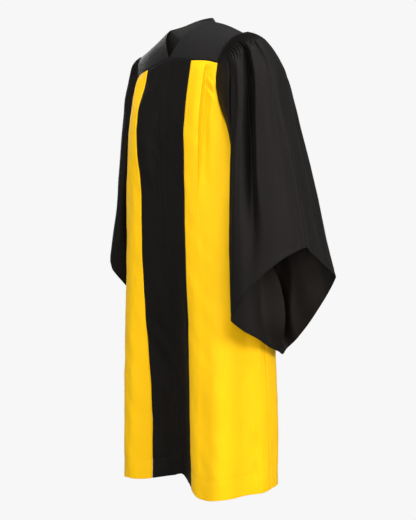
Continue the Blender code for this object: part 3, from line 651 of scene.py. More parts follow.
def raised(fold, apart, along):
    """How far a fold stands out at a distance from its line: it grows along the piece, then fades."""
    growth = smooth((along - fold.start) / (fold.full - fold.start))
    fade = smooth((along - fold.fade) / (fold.gone - fold.fade))
    return fold.out * bump(apart, fold.half_width) * growth * (1 - fade)


def body_folds(arc, height):
    """How far the folds stand out from the plain plan."""
    out = np.zeros_like(arc)
    down = np.clip(height / HEM_HEIGHT, 0, 1)
    for fold in BODY_FOLDS:
        out = out + raised(fold, arc - fold_line(fold, down), height)
    half = PLAN.half_length(height)
    behind = half - np.abs(arc)
    place = np.where(arc < 0, -behind, behind)
    inside = smooth((half - outer_arc(height, True) - np.abs(place)) / BACK_EDGE_CALM)
    growth = ramp(height, BACK_FOLDS_GROW) * inside
    for top, hem, stands, half_width in BACK_FOLDS:
        out = out + stands * bump(place - (top + (hem - top) * down), half_width) * growth
    gather = np.sin(math.pi * BACK_GATHERS * place / BACK_CORNER_X)
    return out + BACK_GATHER_DEPTH * gather * (ramp(height, GATHERS_GROW) * inside) * (1 - ramp(height, GATHERS_FADE))


def pleat(arc, height):
    """The raised strip of the knife pleat, its drop and the recess beyond."""
    row = PLEAT.at(height)
    past = arc - PLEAT_ARC
    rise = row["rise"] * smooth(1 + past / PLEAT_OFFSET)
    beyond = smooth(past / PLEAT_DROP)
    recess = row["recess"] * (1 - smooth((past - row["drop_width"]) / RECESS_REACH))
    fall = row["rise"] * (1 - beyond) - recess * beyond
    return np.where(past > 0, fall, rise) * ramp(height, PLEAT_GROWS)


def pleat_overhang(arc, height):
    """How far the pleat's fold leans over its recess: the cloth just inside the fold is pushed across it."""
    past = arc - PLEAT_ARC
    lean = np.where(past > 0, 1 - smooth(past / LEAN_PAST_FOLD), smooth(1 + past / LEAN_BEFORE_FOLD))
    return PLEAT_LEAN * PLEAT.at(height)["rise"] * lean * ramp(height, PLEAT_GROWS)


def crease_field(creases, across, along, scale=1.0, wrap=False):
    """How far listed creases stand out; each is a table of its line, depth and two half widths."""
    out = np.zeros_like(along)
    for crease in creases:
        row = crease.at(along)
        apart = across - row["line"]
        if wrap:
            apart = (apart + 0.5) % 1.0 - 0.5
        apart = apart * scale / np.where(apart < 0, row["before"], row["after"])
        soft = bump(apart, 1.0)
        peaked = np.clip(1 - np.abs(apart), 0, 1) ** 2
        out = out + row["out"] * (soft * (1 - row["crisp"]) + peaked * row["crisp"])
    return out


def soft_noise(across, along, seed, columns=NOISE_CELLS):
    """Smooth noise from -1 to 1 on cells one unit wide; it repeats after the given number of columns."""
    rows = NOISE_CELLS
    table = np.random.default_rng(seed).uniform(-1, 1, (columns, rows))
    left, low = np.floor(across).astype(int), np.floor(along).astype(int)
    t, s = smooth(across - left), smooth(along - low)
    a, b = table[left % columns, low % rows], table[(left + 1) % columns, low % rows]
    c, d = table[left % columns, (low + 1) % rows], table[(left + 1) % columns, (low + 1) % rows]
    return (a * (1 - t) + b * t) * (1 - s) + (c * (1 - t) + d * t) * s


def body_creases(arc, height):
    """Listed creases of the body and the slight unevenness of hanging cloth."""
    out = crease_field(BODY_CREASES, arc, height)
    calm = ramp(height, BODY_WAVES_GROW)
    for size, tall, depth, seed, slant in BODY_WAVES:
        drift = DRIFT * soft_noise(arc / DRIFT_ACROSS, height / DRIFT_ALONG, seed + DRIFT_SEED)
        out = out + depth * calm * soft_noise((arc + slant * height) / size + drift, height / tall, seed)
    return out


def outward_normals(points, core, closed=False):
    """Unit normals of a grid, by differences along its rows and columns, away from a core inside the garment."""
    if closed:
        wrapped = np.concatenate([points[:, -1:], points, points[:, :1]], axis=1)
        across = (wrapped[:, 2:] - wrapped[:, :-2]) / 2
    else:
        across = np.gradient(points, axis=1)
    normals = unit(np.cross(np.gradient(points, axis=0), across))
    return normals * np.sign(np.sum(normals * (points - core)))


def hem_height(arc):
    """Height of the hem at a signed arc: lower on the right, uneven, and lifted a little at the centre front."""
    x = body_points(arc, HEM_HEIGHT)[..., 0]
    tilt = np.where(x < 0, HEM_TILT_RIGHT, HEM_TILT)
    rise = HEM_RISE_AT_CENTER * bump(arc, VALLEY_REACH)
    return HEM_HEIGHT + tilt * x + rise - HEM_DROP.at(arc)["drop"]


def panel_heights(seam, hem):
    """Heights of a panel's points: rows from its seam to the underarm's level, and on down to its hem."""
    start = seam - EDGE_TRIM
    above = start + (UNDERARM_HEIGHT - start) * UPPER_SHARES[:, None]
    return np.concatenate([above, UNDERARM_HEIGHT + (hem - UNDERARM_HEIGHT) * LOWER_SHARES[:, None]])


def front_center(side):
    """A black panel beside the closure."""
    arc = graded(EDGE_TRIM, FRONT_CENTER_WIDTH - EDGE_TRIM, FRONT_CENTER_COLUMNS)
    height = panel_heights(FRONT_SEAM.at(arc)["height"], hem_height(side * arc))
    arc = np.tile(arc, (len(height), 1))
    arc[:, 0] = CLOSED_EDGE + closure_gap(height[:, 0])
    return body_cloth(side * arc, height)


def closure_gap(height):
    """How far a front's edge stands back from the zip, over the zip's length; widest at its top stop."""
    along = ramp(height, (ZIP_TOP, -CLOSURE_FADE)) * ramp(height, (ZIP_BOTTOM, CLOSURE_FADE))
    at_top = bump(height - ZIP_TOP + CLOSURE_TOP_REACH, CLOSURE_TOP_REACH)
    return CLOSURE_GAP * along + CLOSURE_GAP_AT_TOP * at_top


def front_side(side):
    """A yellow side front with its knife pleat."""
    inner = FRONT_CENTER_WIDTH + EDGE_TRIM
    seam_arcs = side_arcs(inner, outer_arc(YOKE_CORNER_HEIGHT) - EDGE_TRIM)
    hem_arcs = side_arcs(inner, outer_arc(HEM_HEIGHT) - EDGE_TRIM)
    height = panel_heights(seam_height_at_arc(seam_arcs), hem_height(side * hem_arcs))
    edge = outer_arc(height[:, -1]) - EDGE_TRIM
    return body_cloth(side * np.array([side_arcs(inner, end) for end in edge]), height)


def side_arcs(inner, edge):
    """Arcs across a side front: the pleat's strip, its fold and recess, and the rest to the outer edge."""
    strip = graded(inner, PLEAT_ARC - PLEAT_STRIP_STOP, PLEAT_STRIP_COLUMNS, after=False)
    fold = PLEAT_ARC + np.array(PLEAT_FOLD_LINES)
    return np.concatenate([strip, fold, graded(PLEAT_ARC + PLEAT_SIDE_START, edge, SIDE_COLUMNS, before=False)])


def seam_height_at_arc(arc, behind=False):
    """Height of the yoke seam at an arc length along it."""
    table = BACK_SEAM if behind else FRONT_SEAM
    height = np.full_like(arc, BACK_SEAM_HEIGHT if behind else YELLOW_SEAM_HEIGHT)
    for _ in range(SEAM_ROUNDS):
        height = table.at(oval(PLAN.angle(arc, height), height)[0])["height"]
    return height


def back_panel():
    """The yellow back, from side seam to side seam."""
    place = graded(-1, 1, BACK_COLUMNS, unit=BACK_HALF_WIDTH)
    sign = np.where(place < 0, -1, 1)
    half = PLAN.half_length(HEM_HEIGHT)
    hem_arcs = half - (half - outer_arc(HEM_HEIGHT, True)) * np.abs(place)
    half_at_seam = PLAN.half_length(BACK_SEAM_HEIGHT)
    seam_arcs = half_at_seam - (half_at_seam - outer_arc(BACK_CORNER_HEIGHT, True)) * np.abs(place)
    height = panel_heights(seam_height_at_arc(seam_arcs, True), hem_height(sign * hem_arcs))
    reach = PLAN.half_length(height) - outer_arc(height, True) - EDGE_TRIM
    return body_cloth(sign * (PLAN.half_length(height) - reach * np.abs(place)), height)


def patch(left, right, bottom, top, shares):
    """A smooth grid between four edges; left and right run from the bottom edge to the top one."""
    v = YOKE_SHARES[:, None, None]
    u = shares[None, :, None]
    across = left[:, None] * (1 - u) + right[:, None] * u
    along = bottom[None] * (1 - v) + top[None] * v
    corners = (bottom[0] * (1 - u) + bottom[-1] * u) * (1 - v) + (top[0] * (1 - u) + top[-1] * u) * v
    return across + along - corners


def yoke_front():
    """The left front yoke, between the neck edge, the armhole, the yoke seam and the shoulder."""
    neck = curve_at(NECK_EDGE, YOKE_SHARES) + np.array([EDGE_TRIM, 0, 0])
    arm = curve_at(YOKE_ARM_FRONT, YOKE_SHARES)
    arcs = graded(EDGE_TRIM, outer_arc(YOKE_CORNER_HEIGHT) - EDGE_TRIM, FRONT_YOKE_COLUMNS)
    bottom, bottom_normals = body_cloth(arcs, seam_height_at_arc(arcs) + EDGE_TRIM)
    neck[0], arm[0] = bottom[0], bottom[-1]
    shares = arcs / arcs[-1]
    shoulder = neck[-1] + (arm[-1] - neck[-1]) * shares[:, None]
    grid = patch(neck, arm, bottom, shoulder, shares)
    grid[-1, :, 1] -= EDGE_TRIM
    return uneven(grid, yoke_normals(grid, bottom_normals))


def uneven(points, normals):
    """A yoke's slight unevenness, calm at its edges."""
    down, across = (np.sin(math.pi * np.linspace(0, 1, count)) for count in points.shape[:2])
    x, y, height = (points[..., axis] / size for axis, size in enumerate(YOKE_WAVE_SIZE))
    noise = soft_noise(x + YOKE_WAVE_START[0], y + height + YOKE_WAVE_START[1], YOKE_WAVE_SEED)
    out = YOKE_WAVE_DEPTH * noise * np.sqrt(down[:, None] * across)
    return points + normals * out[..., None], normals


def yoke_normals(grid, bottom_normals):
    """Normals of a yoke: the body's own along the yoke seam, and level with the seam on the shoulder."""
    normals = outward_normals(grid, YOKE_CORE)
    normals[0] = bottom_normals
    on_shoulder = np.abs(grid[-1, :, 1]) < SHOULDER_LINE_REACH
    normals[-1, on_shoulder, 1] = 0
    return unit(normals)


def yoke_back():
    """The back yoke: one half between its edges, then both."""
    columns = BACK_YOKE_COLUMNS
    v = YOKE_SHARES
    u = np.linspace(0, 1, 2 * columns)
    arm = curve_at(YOKE_ARM_BACK, v)
    half_at_seam = PLAN.half_length(BACK_SEAM_HEIGHT)
    arcs = half_at_seam + (outer_arc(BACK_CORNER_HEIGHT, True) + EDGE_TRIM - half_at_seam) * u
    bottom, bottom_normals = body_cloth(arcs, seam_height_at_arc(arcs, True) + EDGE_TRIM)
    neck = curve_at(BACK_NECK, np.linspace(0, 1, columns))
    shoulder = np.linspace(neck[-1], arm[-1], columns + 1)[1:]
    top = np.concatenate([neck, shoulder])
    middle = bottom[0] + (top[0] - bottom[0]) * v[:, None]
    middle[:, 1] += BACK_YOKE_BOW * np.sin(math.pi * v)
    arm[0] = bottom[-1]
    half = patch(middle, arm, bottom, top, u)
    swell = BACK_YOKE_SWELL * np.sin(math.pi * v)[:, None] * np.sin(math.pi * u)[None, :]
    half[..., 1] += swell
    half[..., 2] += BACK_YOKE_LIFT * swell
    half[-1, columns:, 1] += EDGE_TRIM
    mirror = np.array([-1, 1, 1])
    grid = np.concatenate([half[:, :0:-1] * mirror, half], axis=1)
    grid[..., 2] -= NECK_TILT * grid[..., 0] * smooth(1 - np.abs(grid[..., 0]) / NECK_SIDE[0]) * v[:, None]
    seam_normals = np.concatenate([bottom_normals[:0:-1] * mirror, bottom_normals])
    return uneven(grid, yoke_normals(grid, seam_normals))


def leaning(cloth):
    """A yoke as it is worn: its left shoulder rounds up a little and its right one sags."""
    points, normals = cloth
    span = SHOULDER_TIP[0] - NECK_SIDE[0]
    share = np.clip((np.abs(points[..., 0]) - NECK_SIDE[0]) / span, 0, 1)
    lift = SHOULDER_LEAN * np.sin(math.pi * share) * bump(points[..., 1], SHOULDER_LEAN_REACH)
    return points + (lift * np.sign(points[..., 0]))[..., None] * np.array([0, 0, 1]), normals


def armhole_loop():
    """The left armhole's seam: four runs from the shoulder tip, down in front, up behind and back."""
    down = YOKE_CORNER_HEIGHT + (UNDERARM_HEIGHT - YOKE_CORNER_HEIGHT) * UPPER_SHARES
    up = UNDERARM_HEIGHT + (BACK_CORNER_HEIGHT - UNDERARM_HEIGHT) * (1 - UPPER_SHARES[::-1])
    return np.concatenate([
        curve_at(YOKE_ARM_FRONT, YOKE_SHARES[::-1])[:-1],
        body_points(outer_arc(down), down),
        body_points(outer_arc(UNDERARM_HEIGHT), UNDERARM_HEIGHT)[None],
        body_points(outer_arc(up, True), up),
        curve_at(YOKE_ARM_BACK, YOKE_SHARES)[1:-1],
    ])


def armhole_at(place):
    """Points of the armhole loop at places 0 to 1, a quarter of a turn for each of its four runs."""
    loop = armhole_loop()
    front = np.argmin(np.abs(loop[:, 2] - ARMHOLE_FRONT_HEIGHT) + (loop[:, 1] > 0))
    back = np.argmin(np.abs(loop[:, 2] - ARMHOLE_BACK_HEIGHT) + (loop[:, 1] < 0))
    closed = np.concatenate([loop, loop[:1]])
    arcs = np.concatenate([[0], np.cumsum(np.linalg.norm(np.diff(closed, axis=0), axis=1))])
    arc = np.interp(place, [0, 0.25, 0.5, 0.75, 1.0], arcs[[0, front, np.argmin(loop[:, 2]), back, len(loop)]])
    return np.stack([np.interp(arc, arcs, closed[:, axis]) for axis in range(3)], axis=-1)


# Armhole length that one full turn of places would have at the rate of the front quarter
ARMHOLE_RUN = 4 * np.linalg.norm(np.diff(armhole_at(np.linspace(0, 0.25, RUN_STEPS)), axis=0), axis=1).sum()


def section_at(values, place, powers):
    """A drop-shaped section through its four corners, with a power for each quarter between them."""
    corners = values.reshape(4, 3)
    center = corners.mean(axis=0)
    turn = (place % 1.0) * 4
    quarter = np.minimum(turn.astype(int), 3)
    share = np.clip(turn - quarter, QUARTER_END, 1 - QUARTER_END)
    start = corners[quarter] - center
    end = corners[(quarter + 1) % 4] - center
    power = powers[quarter]
    angle = np.arctan((share / (1 - share)) ** (1 / power))
    near, far = np.cos(angle) ** power, np.sin(angle) ** power
    return center + start * near[..., None] + end * far[..., None]


def sleeve_surface(side, place, station):
    """Plain sleeve points for a grid of places and stations, rows along the sleeve."""
    table = SLEEVES[side]
    stations = np.concatenate([[0.0], table.keys])
    fine = np.linspace(0, 1, RING_STEPS + 1)
    sections = [armhole_at(fine) + np.array([SLEEVE_SEAM_OFFSET, 0, 0])]
    for key, values in zip(table.keys, table.values):
        sections.append(section_at(values, fine, np.array(list(SLEEVE_POWERS[side].at(key).values()))))
    stack = np.array(sections)
    slopes = np.gradient(stack, stations, axis=0)
    low = np.clip(np.searchsorted(stations, station, side="right") - 1, 0, len(stations) - 2)
    span = (stations[low + 1] - stations[low])[..., None]
    t = (station - stations[low])[..., None] / span
    column = (place % 1.0) * RING_STEPS
    left = np.minimum(column.astype(int), RING_STEPS - 1)
    mix = (column - left)[..., None]

    def pick(grid, row):
        return grid[row, left] * (1 - mix) + grid[row, left + 1] * mix

    start_slope, end_slope = pick(slopes, low) * span, pick(slopes, low + 1) * span
    return hermite(pick(stack, low), start_slope, pick(stack, low + 1), end_slope, t)


def keep_clear(points, clearance):
    """Move points that are too near the body's side straight out from it, softly."""
    row = BODY.at(np.minimum(points[..., 2], CLEAR_HEIGHT))
    power, depth = plan_form(points[..., 1] < SIDE_MIDDLE_Y, row)
    share = np.clip(np.abs(points[..., 1] - SIDE_MIDDLE_Y) / depth, 0, 1)
    limit = row["half_width"] * (1 - share**power) ** (1 / power) + clearance
    softness = np.maximum(CLEAR_SOFTNESS * clearance, LEAST_SOFTNESS)
    moved = limit + softness * np.logaddexp(0, (points[..., 0] - limit) / softness)
    points[..., 0] = np.where(points[..., 2] < CLEAR_HEIGHT, moved, points[..., 0])
    return points


def sleeve_columns(station):
    """Places round the sleeve from overarm to overarm: crowded at the flutes of its head, even lower down."""
    reach = FLUTE_SPAN / 2 / ARMHOLE_RUN
    flutes = np.linspace(0, reach, FLUTE_COLUMNS + 1)
    crowded = np.concatenate([flutes, np.linspace(reach, 0.25, SLEEVE_FACE_COLUMNS + 1)[1:]])
    even = np.linspace(0, 0.25, len(crowded))
    blend = ramp(station, FLUTE_COLUMNS_SPREAD)
    face = crowded * (1 - blend) + even * blend
    runs = zip(SLEEVE_UNDER_PLACES, SLEEVE_UNDER_PLACES[1:], SLEEVE_UNDER_COLUMNS)
    under = np.concatenate([np.linspace(start, end, count + 1)[1:] for start, end, count in runs])[:-1]
    return np.concatenate([face, under, 1 - face[:0:-1]])


def flute_wave(place):
    """The flutes' rounded ridges and narrow valleys, by place on the seam; they spread with the columns."""
    along = np.where(place > 0.5, 1 - place, place) * ARMHOLE_RUN
    ridge = np.abs(np.cos(math.pi * FLUTES * along / FLUTE_SPAN)) ** FLUTE_ROUNDNESS
    return (2 * ridge - 1) * (1 - ramp(along, OUTER_FLUTES_FADE))


def sleeve(side):
    """A bell sleeve with the flutes of its head, its folds and its creases."""
    place = np.array([sleeve_columns(station) for station in SLEEVE_STATIONS])
    along = SLEEVE_STATIONS[:, None] + 0 * place
    clearance = CLEAR_AT_SEAM * (along > 0) + CLEAR_NEAR * ramp(along, NEAR_GROWS) + CLEAR_FAR * ramp(along, FAR_GROWS)
    points = keep_clear(sleeve_surface(side, place, along), clearance)
    normals = outward_normals(points, points.mean(axis=1, keepdims=True), closed=True)
    out = FLUTE_DEPTH * flute_wave(place[:1]) * ramp(along, FLUTES_GROW) * (1 - ramp(along, FLUTES_FADE))
    for fold in SLEEVE_FOLDS[side]:
        out = out + raised(fold, (place - fold_line(fold, along) + 0.5) % 1.0 - 0.5, along)
    girth = SLEEVE_GIRTH + SLEEVE_GIRTH_GROWTH * along
    out = out + crease_field(SLEEVE_CREASES[side], place, along, girth, wrap=True)
    for cells, tall, depth, seed in SLEEVE_WAVES:
        noise = soft_noise(place * cells, along / tall, seed + (side == "right"), cells)
        out = out + depth * ramp(along, SLEEVE_WAVES_GROW) * noise
    points = keep_clear(points + normals * out[..., None], CLEAR_OF_FOLDS * ramp(along, CLEAR_OF_FOLDS_GROWS))
    normals[0, :, 0] = np.minimum(normals[0, :, 0], 0)
    normals[0] = unit(normals[0])
    return points, normals


def zip_tape():
    """The zip's tape, just behind the closed fronts."""
    arc = np.linspace(-ZIP_HALF_WIDTH, ZIP_HALF_WIDTH, ZIP_COLUMNS)
    height = np.linspace(ZIP_TOP, ZIP_BOTTOM, ZIP_ROWS)[:, None]
    face, normals = body_cloth(arc, height)
    return face - normals * (CLOTH + ZIP_GAP), normals


def mirrored(cloth, side):
    """Left cloth as it is, or turned over for the right."""
    flip = np.array([side, 1, 1])
    return cloth[0] * flip, cloth[1] * flip


# The pieces as thin cloth: how far seams and stitching draw it in, and how wide the painted shade along its edges is
SEAM_SINK = 0.0016
SEAM_WIDTH = 0.0024
STITCH_SINK = 0.0009
STITCH_GROOVE = 0.0045
STITCH_LIFT = 0.00025
PAINTED_SHADE_EDGE_WIDTH = 0.006


def run_lengths(points, axis):
    """Distance along a grid's rows or columns from its first line."""
    steps = np.linalg.norm(np.diff(points, axis=axis), axis=-1)
    start = np.zeros_like(points[:1, :, 0] if axis == 0 else points[:, :1, 0])
    return np.concatenate([start, np.cumsum(steps, axis=axis)], axis=axis)


def sewn(cloth, seams, hem_depth=0.0):
    """Sink the cloth into its seams and hem stitching; gives points, normals, thickness and closeness to an edge."""
    points, normals = cloth
    down, across = run_lengths(points, 0), run_lengths(points, 1)
    from_hem = down[-1:] - down
    last_column = across[:, -1:] - across
    distance = {"first_row": down, "last_row": from_hem, "first_column": across, "last_column": last_column}
    sink = np.zeros_like(down)
    for edge, weight in seams.items():
        sink = np.maximum(sink, weight * np.exp(-((distance[edge] / SEAM_WIDTH) ** 2)))
    sink = SEAM_SINK * sink
    thickness = np.full_like(sink, CLOTH)
    near = [distance[edge] for edge in seams]
    if hem_depth:
        sink = sink + STITCH_SINK * bump(from_hem - hem_depth, STITCH_GROOVE)
        thickness = np.where(from_hem < hem_depth, HEM_CLOTH, CLOTH)
        near.append(from_hem)
    # Closeness to the nearest seam or hem: the mask for the painted shade along the edges and their smoother finish
    close = np.exp(-np.min(near, axis=0) / PAINTED_SHADE_EDGE_WIDTH)
    return points - normals * sink[..., None], normals, thickness, close


def cloth_piece(name, cloth, material, closed=False):
    """A thin closed shell of cloth from a grid: its outer face, its inner face and its edges."""
    points, normals, thickness, close = cloth
    rows, columns = points.shape[:2]
    count = rows * columns
    index, loop = np.arange(count).reshape(rows, columns), points
    if closed:
        index, loop = (np.concatenate([grid, grid[:, :1]], axis=1) for grid in (index, loop))
    across, down = run_lengths(loop, 1), run_lengths(loop, 0)
    middle = across.shape[1] // 2
    flat = np.stack([across - across[:, middle:middle + 1], -down[:, middle:middle + 1] + 0 * across], axis=-1)
    slots = np.arange(index.size).reshape(index.shape)
    quads = np.stack([slots[:-1, :-1], slots[1:, :-1], slots[1:, 1:], slots[:-1, 1:]], axis=2).reshape(-1, 4)
    faces = [quads, quads[:, ::-1] + slots.size]
    edges = [(slots[0], 1), (slots[-1], -1)]
    if not closed:
        edges += [(slots[:, 0], -1), (slots[:, -1], 1)]
    for line, turn in edges:
        back = line + slots.size
        faces.append(np.stack([line[:-1], line[1:], back[1:], back[:-1]], axis=-1)[:, ::turn])
    faces = np.concatenate(faces)
    first, below, beside = points[0, 0], points[1, 0], points[0, 1]
    if np.dot(np.cross(below - first, beside - first), normals[0, 0]) < 0:
        faces = faces[:, ::-1]
    vertex = np.concatenate([index.ravel(), index.ravel() + count])
    both_faces = np.concatenate([points.reshape(-1, 3), (points - normals * thickness[..., None]).reshape(-1, 3)])
    piece = mesh_object(name, both_faces, vertex[faces], material)
    places = np.tile(flat.reshape(-1, 2), (2, 1))[faces]
    piece.data.uv_layers.new(name="Cloth").data.foreach_set("uv", places.ravel().astype(np.float32))
    for mark, values in {"edge": np.tile(close.ravel(), 2), "inside": np.repeat([0.0, 1.0], count)}.items():
        attribute = piece.data.attributes.new(mark, "FLOAT", "POINT")
        attribute.data.foreach_set("value", values.astype(np.float32))
    return piece


def mesh_object(name, vertices, faces, material):
    """An object with a smooth mesh, whose faces all have the same number of corners."""
    mesh = bpy.data.meshes.new(name)
    mesh.vertices.add(len(vertices))
    mesh.vertices.foreach_set("co", np.ascontiguousarray(vertices, np.float32).ravel())
    faces = np.ascontiguousarray(faces, np.int32)
    mesh.loops.add(faces.size)
    mesh.loops.foreach_set("vertex_index", faces.ravel())
    mesh.polygons.add(len(faces))
    mesh.polygons.foreach_set("loop_start", np.arange(0, faces.size, faces.shape[1], dtype=np.int32))
    mesh.update(calc_edges=True)
    mesh.shade_smooth()
    mesh.materials.append(material)
    return linked(name, mesh)


def linked(name, data):
    """A new object with this data, at the origin of the scene."""
    thing = bpy.data.objects.new(name, data)
    bpy.context.scene.collection.objects.link(thing)
    return thing


# Finishes
class Value:
    """A node's output that Python arithmetic works on."""

    def __init__(self, nodes, socket):
        self.nodes, self.socket = nodes, socket

    def math(self, operation, first, second=0.0):
        return self.nodes.node("ShaderNodeMath", {0: first, 1: second}, {"operation": operation})

    def __add__(self, other):
        return self.math("ADD", self, other)

    def __sub__(self, other):
        return self.math("SUBTRACT", self, other)

    def __rsub__(self, other):
        return self.math("SUBTRACT", other, self)

    def __mul__(self, other):
        return self.math("MULTIPLY", self, other)

    __radd__, __rmul__ = __add__, __mul__

    def sine(self):
        return self.math("SINE", self)


class Nodes:
    """A node tree that is filled by expressions."""

    def __init__(self, tree):
        self.tree = tree

    def node(self, kind, inputs=None, settings=None, output=0):
        node = self.tree.nodes.new(kind)
        for name, value in (settings or {}).items():
            setattr(node, name, value)
        for name, value in (inputs or {}).items():
            self.join(value, node.inputs[name])
        return Value(self, node.outputs[output])

    def join(self, value, socket):
        if isinstance(value, Value):
            self.tree.links.new(value.socket, socket)
        else:
            socket.default_value = value

    def attribute(self, name):
        return self.node("ShaderNodeAttribute", settings={"attribute_name": name}, output="Fac")

    def blend(self, share, first, second):
        return self.node("ShaderNodeMix", {0: share, 6: first, 7: second}, {"data_type": "RGBA"}, output=2)

    def noise(self, place, scale, detail=2.0, roughness=0.5):
        inputs = {"Vector": place, "Scale": scale, "Detail": detail, "Roughness": roughness}
        return self.node("ShaderNodeTexNoise", inputs)

    def slubs(self, place, cells):
        """Streaks of thicker thread, with so many to the metre across and along."""
        stretched = self.node("ShaderNodeVectorMath", {0: place, 1: cells}, {"operation": "MULTIPLY"})
        return self.noise(stretched, 1.0)

    def bumped(self, height, strength, distance):
        return self.node("ShaderNodeBump", {"Height": height, "Strength": strength, "Distance": distance})


def finish(name, constants):
    """A new material, its nodes and its shader, with constants on the shader's own sockets."""
    material = bpy.data.materials.new(name)
    material.use_nodes = True
    shader = material.node_tree.nodes["Principled BSDF"]
    for socket, value in constants.items():
        shader.inputs[socket].default_value = value
    return material, Nodes(material.node_tree), shader.inputs


THREAD = 0.00055
SLUBS = (900.0, 90.0, 1.0)
CROSS_SLUBS = (70.0, 800.0, 1.0)
SLUB_SHARE, CROSS_SLUB_SHARE = 0.6, 0.4
TONE_SCALE, TONE_DETAIL, TONE_ROUGHNESS = 5.0, 3.0, 0.55
TONE_SHARE, FINE_SHARE = 0.55, 0.45
PAINTED_EDGE_SHADE_SHARE = 0.80
TONE_IN_ROUGHNESS, FINE_IN_ROUGHNESS, EDGE_IN_ROUGHNESS = 0.12, 0.10, 0.05
WEAVE_BUMP = (0.35, 0.0003)
GRAIN_BUMP = (0.3, 0.0001)
GRAIN_IN_ROUGHNESS = 0.2


def woven(name, light, dark, edge, inside, roughness, specular, sheen, sheen_roughness, weave, slub, gloss):
    """Woven cloth: crossing threads, slubs, slow changes of tone, and an edge colour painted along its seams and hems
    (painted shade where it is darker).
    """
    material, nodes, inputs = finish(name, {
        "Specular IOR Level": specular, "Specular Tint": gloss, "Sheen Weight": sheen,
        "Sheen Roughness": sheen_roughness,
    })
    flat = nodes.node("ShaderNodeUVMap", settings={"uv_map": "Cloth"})
    across, along = (nodes.node("ShaderNodeSeparateXYZ", {0: flat}, output=axis) for axis in (0, 1))
    threads = (across * (math.tau / THREAD)).sine() * (along * (math.tau / THREAD)).sine()
    place = nodes.node("ShaderNodeTexCoord", output="Object")
    tone = nodes.noise(place, TONE_SCALE, TONE_DETAIL, TONE_ROUGHNESS)
    fine = nodes.slubs(flat, SLUBS) * SLUB_SHARE + nodes.slubs(flat, CROSS_SLUBS) * CROSS_SLUB_SHARE
    near_edge = nodes.attribute("edge")
    color = nodes.blend(tone * TONE_SHARE + fine * FINE_SHARE, dark, light)
    color = nodes.blend(nodes.attribute("inside"), color, inside)
    # Painted shade: towards seams and hems the colour goes to the edge colour, darker on the black and yellow cloth
    nodes.join(nodes.blend(near_edge * PAINTED_EDGE_SHADE_SHARE, color, edge), inputs["Base Color"])
    rough = roughness + (tone - 0.5) * TONE_IN_ROUGHNESS + (fine - 0.5) * FINE_IN_ROUGHNESS
    nodes.join(rough - near_edge * EDGE_IN_ROUGHNESS, inputs["Roughness"])
    nodes.join(nodes.bumped(threads * weave + fine * slub, *WEAVE_BUMP), inputs["Normal"])
    return material


def plain(name, light, dark, roughness, grain):
    """A small part's finish: two near tones, mixed by a fine grain that also roughens it."""
    material, nodes, inputs = finish(name, {})
    speck = nodes.noise(nodes.node("ShaderNodeTexCoord", output="Object"), grain)
    nodes.join(nodes.blend(speck, dark, light), inputs["Base Color"])
    nodes.join(roughness + (speck - 0.5) * GRAIN_IN_ROUGHNESS, inputs["Roughness"])
    nodes.join(nodes.bumped(speck, *GRAIN_BUMP), inputs["Normal"])
    return material


BLACK = dict(
    # edge: painted shade along seams and hems
    light=(0.0024, 0.0019, 0.0017, 1), dark=(0.0012, 0.0010, 0.0009, 1), edge=(0.0004, 0.0003, 0.0003, 1),
    # inside: the inner face's tone, set to paint how dark the shade is inside the sleeve's mouth and the robe
    inside=(0.0062, 0.0054, 0.0050, 1), roughness=0.62, specular=0.13, sheen=0.008, sheen_roughness=0.45,
    weave=0.55, slub=0.8, gloss=(1.0, 0.92, 0.86, 1),
)
# The yoke's black is painted light: much lighter than the other black cloth, standing in for light from above, and its
# inner face lighter still as painted light inside the neck
BLACK_YOKE_PAINTED_LIGHT = {
    **BLACK, "light": (0.0175, 0.0166, 0.0165, 1), "inside": (0.047, 0.046, 0.045, 1), "gloss": (1.0, 0.97, 0.97, 1)
}
black_cloth = woven("black choir cloth", **BLACK)
painted_light_yoke_cloth = woven("black yoke cloth with painted light", **BLACK_YOKE_PAINTED_LIGHT)
yellow_cloth = woven(
    "golden yellow choir cloth",
    # edge: painted shade along seams and hems
    light=(0.820, 0.492, 0.0045, 1), dark=(0.780, 0.432, 0.0012, 1), edge=(0.800, 0.455, 0.0010, 1),
    inside=(0.760, 0.420, 0.002, 1), roughness=0.60, specular=0.10, sheen=0.02, sheen_roughness=0.4,
    weave=0.55, slub=0.8, gloss=(1, 1, 1, 1),
)
tape_cloth = woven(
    "black zip tape",
    light=(0.0100, 0.0100, 0.0105, 1), dark=(0.0060, 0.0060, 0.0062, 1), edge=(0.0150, 0.0150, 0.0150, 1),
    inside=(0.0080, 0.0080, 0.0082, 1), roughness=0.72, specular=0.25, sheen=0.05, sheen_roughness=0.5,
    weave=1.0, slub=0.2, gloss=(1, 1, 1, 1),
)
BLACK_THREAD = {"light": (0.009, 0.009, 0.009, 1), "dark": (0.004, 0.004, 0.004, 1)}
YELLOW_THREAD = {"light": (0.960, 0.620, 0.020, 1), "dark": (0.860, 0.500, 0.006, 1)}
COIL_BLACK = {"light": (0.030, 0.030, 0.032, 1), "dark": (0.016, 0.016, 0.017, 1)}
black_thread = plain("black thread", **BLACK_THREAD, roughness=0.5, grain=1400.0)
yellow_thread = plain("golden yellow thread", **YELLOW_THREAD, roughness=0.5, grain=1400.0)
coil_black = plain("black zip coil", **COIL_BLACK, roughness=0.35, grain=900.0)


# The sewn pieces: each rides on the root body and stands for its own node
def put(node, cloth, material, closed=False):
    piece = cloth_piece(f"{node}_cloth", cloth, material, closed)
    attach(piece, "root")
    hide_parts(node)


def stitch_line(cloth, edge, distance):
    """Points of a stitched line a set distance in from one edge of a piece, just proud of its face."""
    points, proud = cloth[0], cloth[0] + STITCH_LIFT * cloth[1]
    if edge.endswith("row"):
        points, proud = points.swapaxes(0, 1), proud.swapaxes(0, 1)
    if edge.startswith("last"):
        points, proud = points[:, ::-1], proud[:, ::-1]
    return np.array([
        [np.interp(distance, along, row[:, axis]) for axis in range(3)]
        for along, row in zip(run_lengths(points, 1), proud)
    ])


